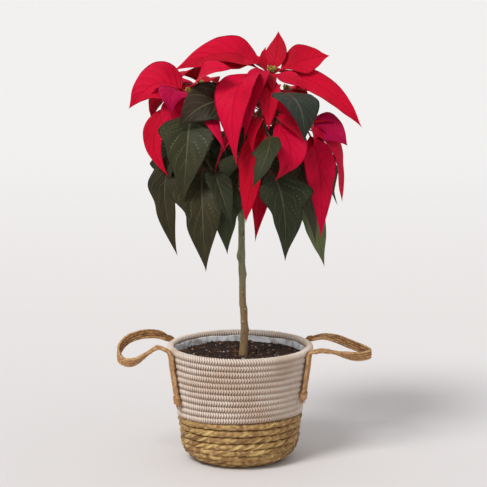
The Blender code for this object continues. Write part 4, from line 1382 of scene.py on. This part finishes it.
def bractRoot(name, toward):
    bloom, _, lean = shoots[name]
    lean = Vector(lean).normalized()
    side = Vector(toward) - Vector(bloom)
    side -= lean * side.dot(lean)
    return Vector(bloom) + side.normalized() * shootForm["coreRadius"] * 0.4


def withinHead(start, out, reach):
    start = Vector((start.x / bladeForm["headNarrow"], start.y))
    out = Vector((out.x / bladeForm["headNarrow"], out.y))
    middle = start.dot(out)
    spare = middle**2 + out.length_squared * (bladeForm["headRadius"] ** 2 - start.length_squared)
    return min(reach, (math.sqrt(max(spare, 1.0)) - middle) / out.length_squared)


def outwards(facing, spread, i, count, rng):
    turn = facing + spread * ((i + 0.5) / count - 0.5) + rng.uniform(-9, 9)
    return Vector((math.cos(math.radians(turn)), math.sin(math.radians(turn)), 0))


def seenBlades(lines):
    for i, (name, shoulder, tip, width, roll, wave) in enumerate(seenBracts):
        root = bractRoot(name, shoulder)
        yield newBlade("bloom_" + name, root, shoulder, tip, width, roll, wave, 100 + i, True)
    for i, (name, share, shoulder, tip, width, roll, wave) in enumerate(seenLeaves):
        root = alongLine(lines[name], share)
        yield newBlade("shoot_" + name, root, shoulder, tip, width, roll, wave, 200 + i, True)


def fillBlades(lines):
    for b, (name, (count, facing, spread)) in enumerate(fillBracts.items()):
        rng = random.Random(seed + 30 + b)
        bloom = Vector(shoots[name][0])
        for i in range(count):
            out = outwards(facing, spread, i, count, rng)
            outer = i % 2 == 0
            length = rng.uniform(92, 112) if outer else rng.uniform(60, 80)
            reach = withinHead(bloom, out, length * 0.85)
            rise = length * (rng.uniform(0.12, 0.26) if outer else rng.uniform(0.32, 0.46))
            drop = length * (rng.uniform(0.2, 0.6) if outer else rng.uniform(-0.25, 0.15))
            shoulder = bloom + out * reach * 0.62 + up * rise
            tip = bloom + out * reach - up * drop
            width = length * rng.uniform(0.40, 0.48)
            root = bractRoot(name, shoulder)
            roll = rng.uniform(-25, 25)
            yield newBlade("bloom_" + name, root, shoulder, tip, width, roll, 0.05, 300 + 20 * b + i)
    for b, (name, (count, facing, spread)) in enumerate(fillLeaves.items()):
        rng = random.Random(seed + 60 + b)
        for i in range(count):
            out = outwards(facing, spread, i, count, rng)
            root = alongLine(lines[name], 0.35 + 0.4 * (i + 0.5) / count)
            length = rng.uniform(112, 132)
            reach = withinHead(root, out, length * 0.62) * 0.94
            shoulder = root + out * reach * 0.8 + up * length * rng.uniform(0.05, 0.2)
            tip = root + out * reach - up * length * rng.uniform(0.5, 0.7)
            width = length * rng.uniform(0.36, 0.5)
            roll = rng.uniform(-20, 20)
            yield newBlade("shoot_" + name, root, shoulder, tip, width, roll, 0.04, 500 + 20 * b + i)
    for b, (name, (count, facing, spread)) in enumerate(innerLeaves.items()):
        rng = random.Random(seed + 90 + b)
        for i in range(count):
            out = outwards(facing, spread, i, count, rng)
            root = alongLine(lines[name], 0.5 + 0.35 * (i + 0.5) / count)
            length = rng.uniform(66, 84)
            shoulder = root + out * length * 0.5 + up * length * rng.uniform(0.0, 0.15)
            tip = root + out * length * 0.62 - up * length * rng.uniform(0.55, 0.75)
            width = length * rng.uniform(0.55, 0.65)
            roll = rng.uniform(-15, 15)
            yield newBlade("shoot_" + name, root, shoulder, tip, width, roll, 0.04, 700 + 20 * b + i)


# The finish and the fine form of bracts and leaves

bractTone = {
    "deep": (0.42, 0.0, 0.012),
    "crimson": (0.64, 0.0, 0.026),
    "rose": (0.60, 0.0, 0.045),
    "magenta": (0.44, 0.0, 0.062),
    "dark": (0.30, 0.0, 0.008),
    "vein": (0.40, 0.0, 0.014),
    "under": (0.55, 0.010, 0.030),
    "stalk": (0.45, 0.012, 0.02),
}
leafTone = {
    "brown": (0.040, 0.022, 0.014),
    "olive": (0.040, 0.034, 0.012),
    "green": (0.026, 0.034, 0.012),
    "grey": (0.022, 0.030, 0.021),
    "fresh": (0.145, 0.170, 0.060),
    "dark": (0.013, 0.016, 0.007),
    "vein": (0.120, 0.115, 0.058),
    "under": (0.105, 0.125, 0.050),
    "stalk": (0.14, 0.05, 0.025),
}


def veinPattern(tree):  # strength of the midrib, of the side veins and of the net between
    place = addNode(tree, "UVMap", uv_map="blade").outputs[0]
    parts = addNode(tree, "SeparateXYZ", {"Vector": place})
    along = parts.outputs[0]
    aside = reckon(tree, "MULTIPLY", parts.outputs[1], 2.0)
    across = reckon(tree, "ABSOLUTE", reckon(tree, "SUBTRACT", aside, 1.0))
    wobble = reckon(tree, "MULTIPLY", reckon(tree, "SUBTRACT", mottle(tree, 70.0, 1.0), 0.5), 0.05)
    lead = reckon(tree, "MULTIPLY", across, bladeSkin["veinSlope"])
    phase = reckon(tree, "ADD", reckon(tree, "SUBTRACT", along, lead), wobble)
    wave = reckon(tree, "FRACT", reckon(tree, "MULTIPLY", phase, bladeSkin["veins"]))
    apart = reckon(tree, "ABSOLUTE", reckon(tree, "SUBTRACT", wave, 0.5))
    side = reckon(tree, "MULTIPLY", between(tree, apart, 0.42, 0.5), between(tree, across, 1.0, 0.72))
    middle = between(tree, across, 0.055, 0.012)
    net = between(tree, cells(tree, 330.0), 0.055, 0.0)
    return middle, side, net


def bractFinish():
    made, tree, shader = newFinish("bractVelvet", 0.6, 0.12)
    tone, under, stalk = shades(tree)
    middle, side, net = veinPattern(tree)
    tones = [(0.0, bractTone["deep"]), (0.5, bractTone["crimson"])]
    tones += [(0.8, bractTone["rose"]), (1.0, bractTone["magenta"])]
    body = ramp(tree, tone, *tones)
    patch = between(tree, mottle(tree, 24.0, 3.0), 0.45, 0.75)
    body = mixColours(tree, reckon(tree, "MULTIPLY", patch, 0.5), body, bractTone["dark"])
    body = mixColours(tree, reckon(tree, "MULTIPLY", side, 0.45), body, bractTone["vein"])
    body = mixColours(tree, reckon(tree, "MULTIPLY", net, 0.15), body, bractTone["vein"])
    body = mixColours(tree, reckon(tree, "MULTIPLY", middle, 0.6), body, bractTone["vein"])
    body = mixColours(tree, reckon(tree, "MULTIPLY", under, 0.7), body, bractTone["under"])
    feed(tree, shader.inputs["Base Color"], mixColours(tree, stalk, body, bractTone["stalk"]))
    height = reckon(tree, "ADD", reckon(tree, "MULTIPLY", side, -0.7), reckon(tree, "MULTIPLY", net, -0.3))
    height = reckon(tree, "SUBTRACT", height, middle)
    veined = bump(tree, height, 0.35)
    feed(tree, shader.inputs["Normal"], bump(tree, mottle(tree, 160.0, 4.0), 0.5, veined))
    return made


def leafFinish():
    made, tree, shader = newFinish("leafGreen", 0.5, 0.2)
    tone, under, stalk = shades(tree)
    middle, side, net = veinPattern(tree)
    tones = [(0.0, leafTone["brown"]), (0.3, leafTone["olive"]), (0.52, leafTone["green"])]
    tones += [(0.72, leafTone["grey"]), (1.0, leafTone["fresh"])]
    body = ramp(tree, tone, *tones)
    patch = between(tree, mottle(tree, 30.0, 3.0), 0.42, 0.72)
    body = mixColours(tree, reckon(tree, "MULTIPLY", patch, 0.6), body, leafTone["dark"])
    body = mixColours(tree, reckon(tree, "MULTIPLY", net, 0.07), body, leafTone["vein"])
    body = mixColours(tree, reckon(tree, "MULTIPLY", side, 0.4), body, leafTone["vein"])
    body = mixColours(tree, reckon(tree, "MULTIPLY", middle, 0.75), body, leafTone["vein"])
    body = mixColours(tree, reckon(tree, "MULTIPLY", under, 0.75), body, leafTone["under"])
    feed(tree, shader.inputs["Base Color"], mixColours(tree, stalk, body, leafTone["stalk"]))
    height = reckon(tree, "ADD", reckon(tree, "MULTIPLY", side, -0.8), reckon(tree, "MULTIPLY", net, -0.3))
    height = reckon(tree, "SUBTRACT", height, middle)
    veined = bump(tree, height, 0.45)
    feed(tree, shader.inputs["Normal"], bump(tree, mottle(tree, 150.0, 4.0), 0.4, veined))
    return made


def fineStations(spec, count):  # closer together near the root and the tip
    stalkRows = 7
    stations = [spec["stalk"] * i / stalkRows for i in range(stalkRows)]
    for i in range(count - stalkRows):
        t = i / (count - stalkRows)
        t = t + 0.06 * math.sin(2 * math.pi * t) / -1.0
        stations.append(spec["stalk"] + (1 - spec["stalk"]) * t)
    return stations


def addBlade(pile, spec, swing, tone):
    size = "long", "wide"
    if not spec["seen"]:
        size = "fillLong", "fillWide"
    rowCount, columns = bladeSkin[size[0]], bladeSkin[size[1]]
    stations = fineStations(spec, rowCount)
    rows = bladeRows(spec, *swing, stations, columns, True)
    middle = np.array([[tuple(point) for point in row] for row in rows])
    ahead = np.gradient(middle, axis=0)
    aside = np.gradient(middle, axis=1)
    normal = np.cross(aside, ahead)
    normal /= np.maximum(np.linalg.norm(normal, axis=2, keepdims=True), 1e-9)
    v = 1 - 2 * np.arange(columns + 1) / columns
    round1 = np.sqrt(np.maximum(0.0, 1 - v**2))
    flat1 = np.maximum(0.0, 1 - np.abs(v) ** 8)
    points, shade, uvs = [], [], []
    for i, share in enumerate(stations):
        blend = min(1.0, max(0.0, (share - spec["stalk"] * 0.85) / (spec["stalk"] * 0.5 + 0.02)))
        half = max(halfWidth(spec, share, 0), 0.4)
        rib = np.exp(-((v * half / bladeSkin["ribWide"]) ** 2)) * bladeSkin["rib"] * (1 - share) ** 0.7
        stalkHalf = bladeForm["stalk"] / 2
        top = (1 - blend) * stalkHalf * round1 + blend * (bladeSkin["edge"] * flat1 - 0.35 * rib * flat1)
        low = (1 - blend) * stalkHalf * round1 + blend * (bladeSkin["edge"] * flat1 + rib * flat1)
        upper = middle[i] + normal[i] * top[:, None]
        lower = middle[i] - normal[i] * low[:, None]
        points += upper.tolist() + lower[-2:0:-1].tolist()
        stalked = 1 - blend
        uvs += [(share, (1 - s) / 2) for s in v] + [(share, (1 - s) / 2) for s in v[-2:0:-1]]
        shade += [(tone, 0.0, stalked)] * (columns + 1) + [(tone, 1.0, stalked)] * (columns - 1)
    wide = 2 * columns
    faces = gridFaces(len(stations), wide, closeWide=True)
    faces.append(tuple(range(wide))[::-1])
    tip = len(points)
    points.append(rows[-1][0].lerp(rows[-1][-1], 0.5) + (rows[-1][0] - rows[-2][0]) * 0.9)
    shade.append((tone, 0.5, 0.0))
    uvs.append((1.0, 0.5))
    last = (len(stations) - 1) * wide
    for k in range(wide):
        faces.append((last + k, last + (k + 1) % wide, tip))
    pile.add(points, faces, shade, uvs)


def addStem(pile, name):
    line = shootLine(name, 40)
    radii = []
    for i in range(len(line)):
        share = i / (len(line) - 1)
        scar = sum(math.exp(-(((share - place) / 0.02) ** 2)) for place in (0.3, 0.45, 0.62, 0.8))
        radii.append(shootForm["radius"] * (1.0 + 0.10 * scar + 0.05 * math.sin(9 * share)))
    points, faces = sweep(line, radii, 14)
    pile.add(points, faces, (0.35, 0.5, 0.35))


def addCore(pile, name):
    bloom, _, lean = shoots[name]
    bm = bmesh.new()
    turned = up.rotation_difference(Vector(lean)).to_matrix().to_4x4()
    shape = Matrix.Translation(Vector(bloom)) @ turned
    shape = shape @ Matrix.Diagonal((shootForm["coreRadius"],) * 2 + (shootForm["coreHeight"] / 2, 1))
    bmesh.ops.create_uvsphere(bm, u_segments=20, v_segments=12, radius=1, matrix=shape)
    points = [vert.co.copy() for vert in bm.verts]
    faces = [tuple(vert.index for vert in face.verts) for face in bm.faces]
    bm.free()
    pile.add(points, faces, (0.3, 0.5, 1.0))


def growHead():
    lines = {name: shootLine(name, shootForm["modelPoints"]) for name in shoots}
    piles = {}
    trees = {}
    for name in shoots:
        for kind in ("shoot_", "bloom_"):
            piles[kind + name] = Pile()
            trees[kind + name] = nodeTree(kind + name)
        addStem(piles["shoot_" + name], name)
        addCore(piles["bloom_" + name], name)
    missing = 0
    for spec in list(seenBlades(lines)) + list(fillBlades(lines)):
        swing = findSwing(spec, trees[spec["node"]])
        if swing is None:
            missing += 1
            continue
        tone = random.Random(spec["draw"] + 5).uniform(0.2, 0.7)
        known = leafTones if spec["leafy"] else bractTones
        if spec["seen"]:
            tone = known.get(spec["draw"] % 100, tone)
        addBlade(piles[spec["node"]], spec, swing, tone)
    bract, leaf = bractFinish(), leafFinish()
    for node, pile in piles.items():
        kind, name = node.split("_", 1)
        if kind == "shoot":
            pile.make("leaves_" + name, leaf, "leaf", [node], True)
        else:
            pile.make("bracts_" + name, bract, "bract", [node], True)
    print("blades left out of the model, and here:", missing)


growHead()
print("stage: leaves and bracts done")


# Cyathia: the small true flowers, green cups with yellow glands and red stamens

cup = {
    "count": 8,
    "radius": 1.75,
    "height": 5.0,
    "sides": 14,
    "profile": ((0.35, 0.0), (0.8, 0.16), (1.0, 0.42), (0.96, 0.68), (0.74, 0.86), (0.82, 0.97), (0.5, 0.9)),
    "green": (0.16, 0.22, 0.025),
    "yellow": (0.72, 0.50, 0.03),
    "red": (0.60, 0.03, 0.015),
}


def cupFinish():
    made, tree, shader = newFinish("cyathiumSkin", 0.4, 0.45)
    yellow, red, _ = shades(tree)
    patch = mottle(tree, 500.0, 2.0)
    body = mixColours(tree, between(tree, patch, 0.35, 0.7), cup["green"], (0.27, 0.32, 0.05))
    body = mixColours(tree, yellow, body, cup["yellow"])
    feed(tree, shader.inputs["Base Color"], mixColours(tree, red, body, cup["red"]))
    feed(tree, shader.inputs["Normal"], bump(tree, patch, 0.2))
    return made


def addCup(pile, seat, axis, size, rng):
    turned = up.rotation_difference(axis)
    sides = cup["sides"]
    points, shade = [], []
    for radius, height in cup["profile"]:
        for k in range(sides):
            turn = 2 * math.pi * k / sides
            teeth = 0.10 * math.cos(5 * turn) if height > 0.8 else 0.0
            flat = radius * cup["radius"] * size * (1 + teeth)
            local = Vector((flat * math.cos(turn), flat * math.sin(turn), height * cup["height"] * size))
            points.append(seat + turned @ local)
            shade.append((0.15 if height > 0.8 else 0.0, 0.75 if height > 0.9 else 0.0, 0.0))
    faces = gridFaces(len(cup["profile"]), sides, closeWide=True)
    faces.append(tuple(range(sides))[::-1])
    faces.append(tuple(range(len(points) - sides, len(points))))
    pile.add(points, faces, shade)
    turn = rng.uniform(0, 2 * math.pi)
    lip = Vector((math.cos(turn), math.sin(turn), 0))
    middle = lip * cup["radius"] * size * 0.95 + up * cup["height"] * size * 0.66
    line = []
    for i in range(9):
        part = math.pi * (i / 8 - 0.5)
        offset = lip.cross(up) * math.sin(part) * 1.1 + up * math.cos(part) * 0.5
        line.append(seat + turned @ (middle + offset * size))
    lipPoints, lipFaces = sweep(line, [0.42 * size] * 9, 8)
    pile.add(lipPoints, lipFaces, (1.0, 0.0, 0.0))
    for _ in range(6):
        turn = rng.uniform(0, 2 * math.pi)
        reach = rng.uniform(0.1, 0.55) * cup["radius"] * size
        foot = Vector((reach * math.cos(turn), reach * math.sin(turn), cup["height"] * size * 0.85))
        head = foot * 1.12 + up * rng.uniform(0.3, 1.1)
        ends = [seat + turned @ foot, seat + turned @ foot.lerp(head, 0.5), seat + turned @ head]
        rodPoints, rodFaces = sweep(ends, [0.2, 0.2, 0.36], 6)
        pile.add(rodPoints, rodFaces, (rng.choice((0.1, 0.9)), rng.choice((0.2, 0.9)), 0.0))


def flowerClusters():
    finish = cupFinish()
    for name, (bloom, _, lean) in shoots.items():
        rng = random.Random(seed + 40 + len(name))
        lean = Vector(lean).normalized()
        seat = Vector(bloom) + lean * (shootForm["coreHeight"] / 2 + gap)
        pile = Pile()
        turned = up.rotation_difference(lean)
        base = [seat + lean * rise for rise in (0.0, 0.7, 1.4, 2.0)]
        points, faces = sweep(base, [3.4, 4.0, 3.8, 3.0], 18)
        pile.add(points, faces, (0.0, 0.0, 0.0))
        for i in range(cup["count"]):
            turn = 2 * math.pi * i / (cup["count"] - 1) + rng.uniform(-0.15, 0.15)
            reach = shootForm["cyathiaRing"] if i < cup["count"] - 1 else 0.0
            out = turned @ Vector((math.cos(turn), math.sin(turn), 0))
            axis = (lean + out * 0.35 * min(1.0, reach)).normalized()
            addCup(pile, seat + lean * 0.9 + out * reach * 0.8, axis, rng.uniform(0.75, 1.1), rng)
        pile.make("flowers_" + name, finish, "cyathia", ["cyathia_" + name])


flowerClusters()
print("stage: flowers done")

placeCamera()
placeLight()
placeFloor()
print("stage: camera, light and floor done")

boxes = {"model": cadBox, "dressed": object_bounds()}
{name: [list(corner) for corner in box] for name, box in boxes.items()}
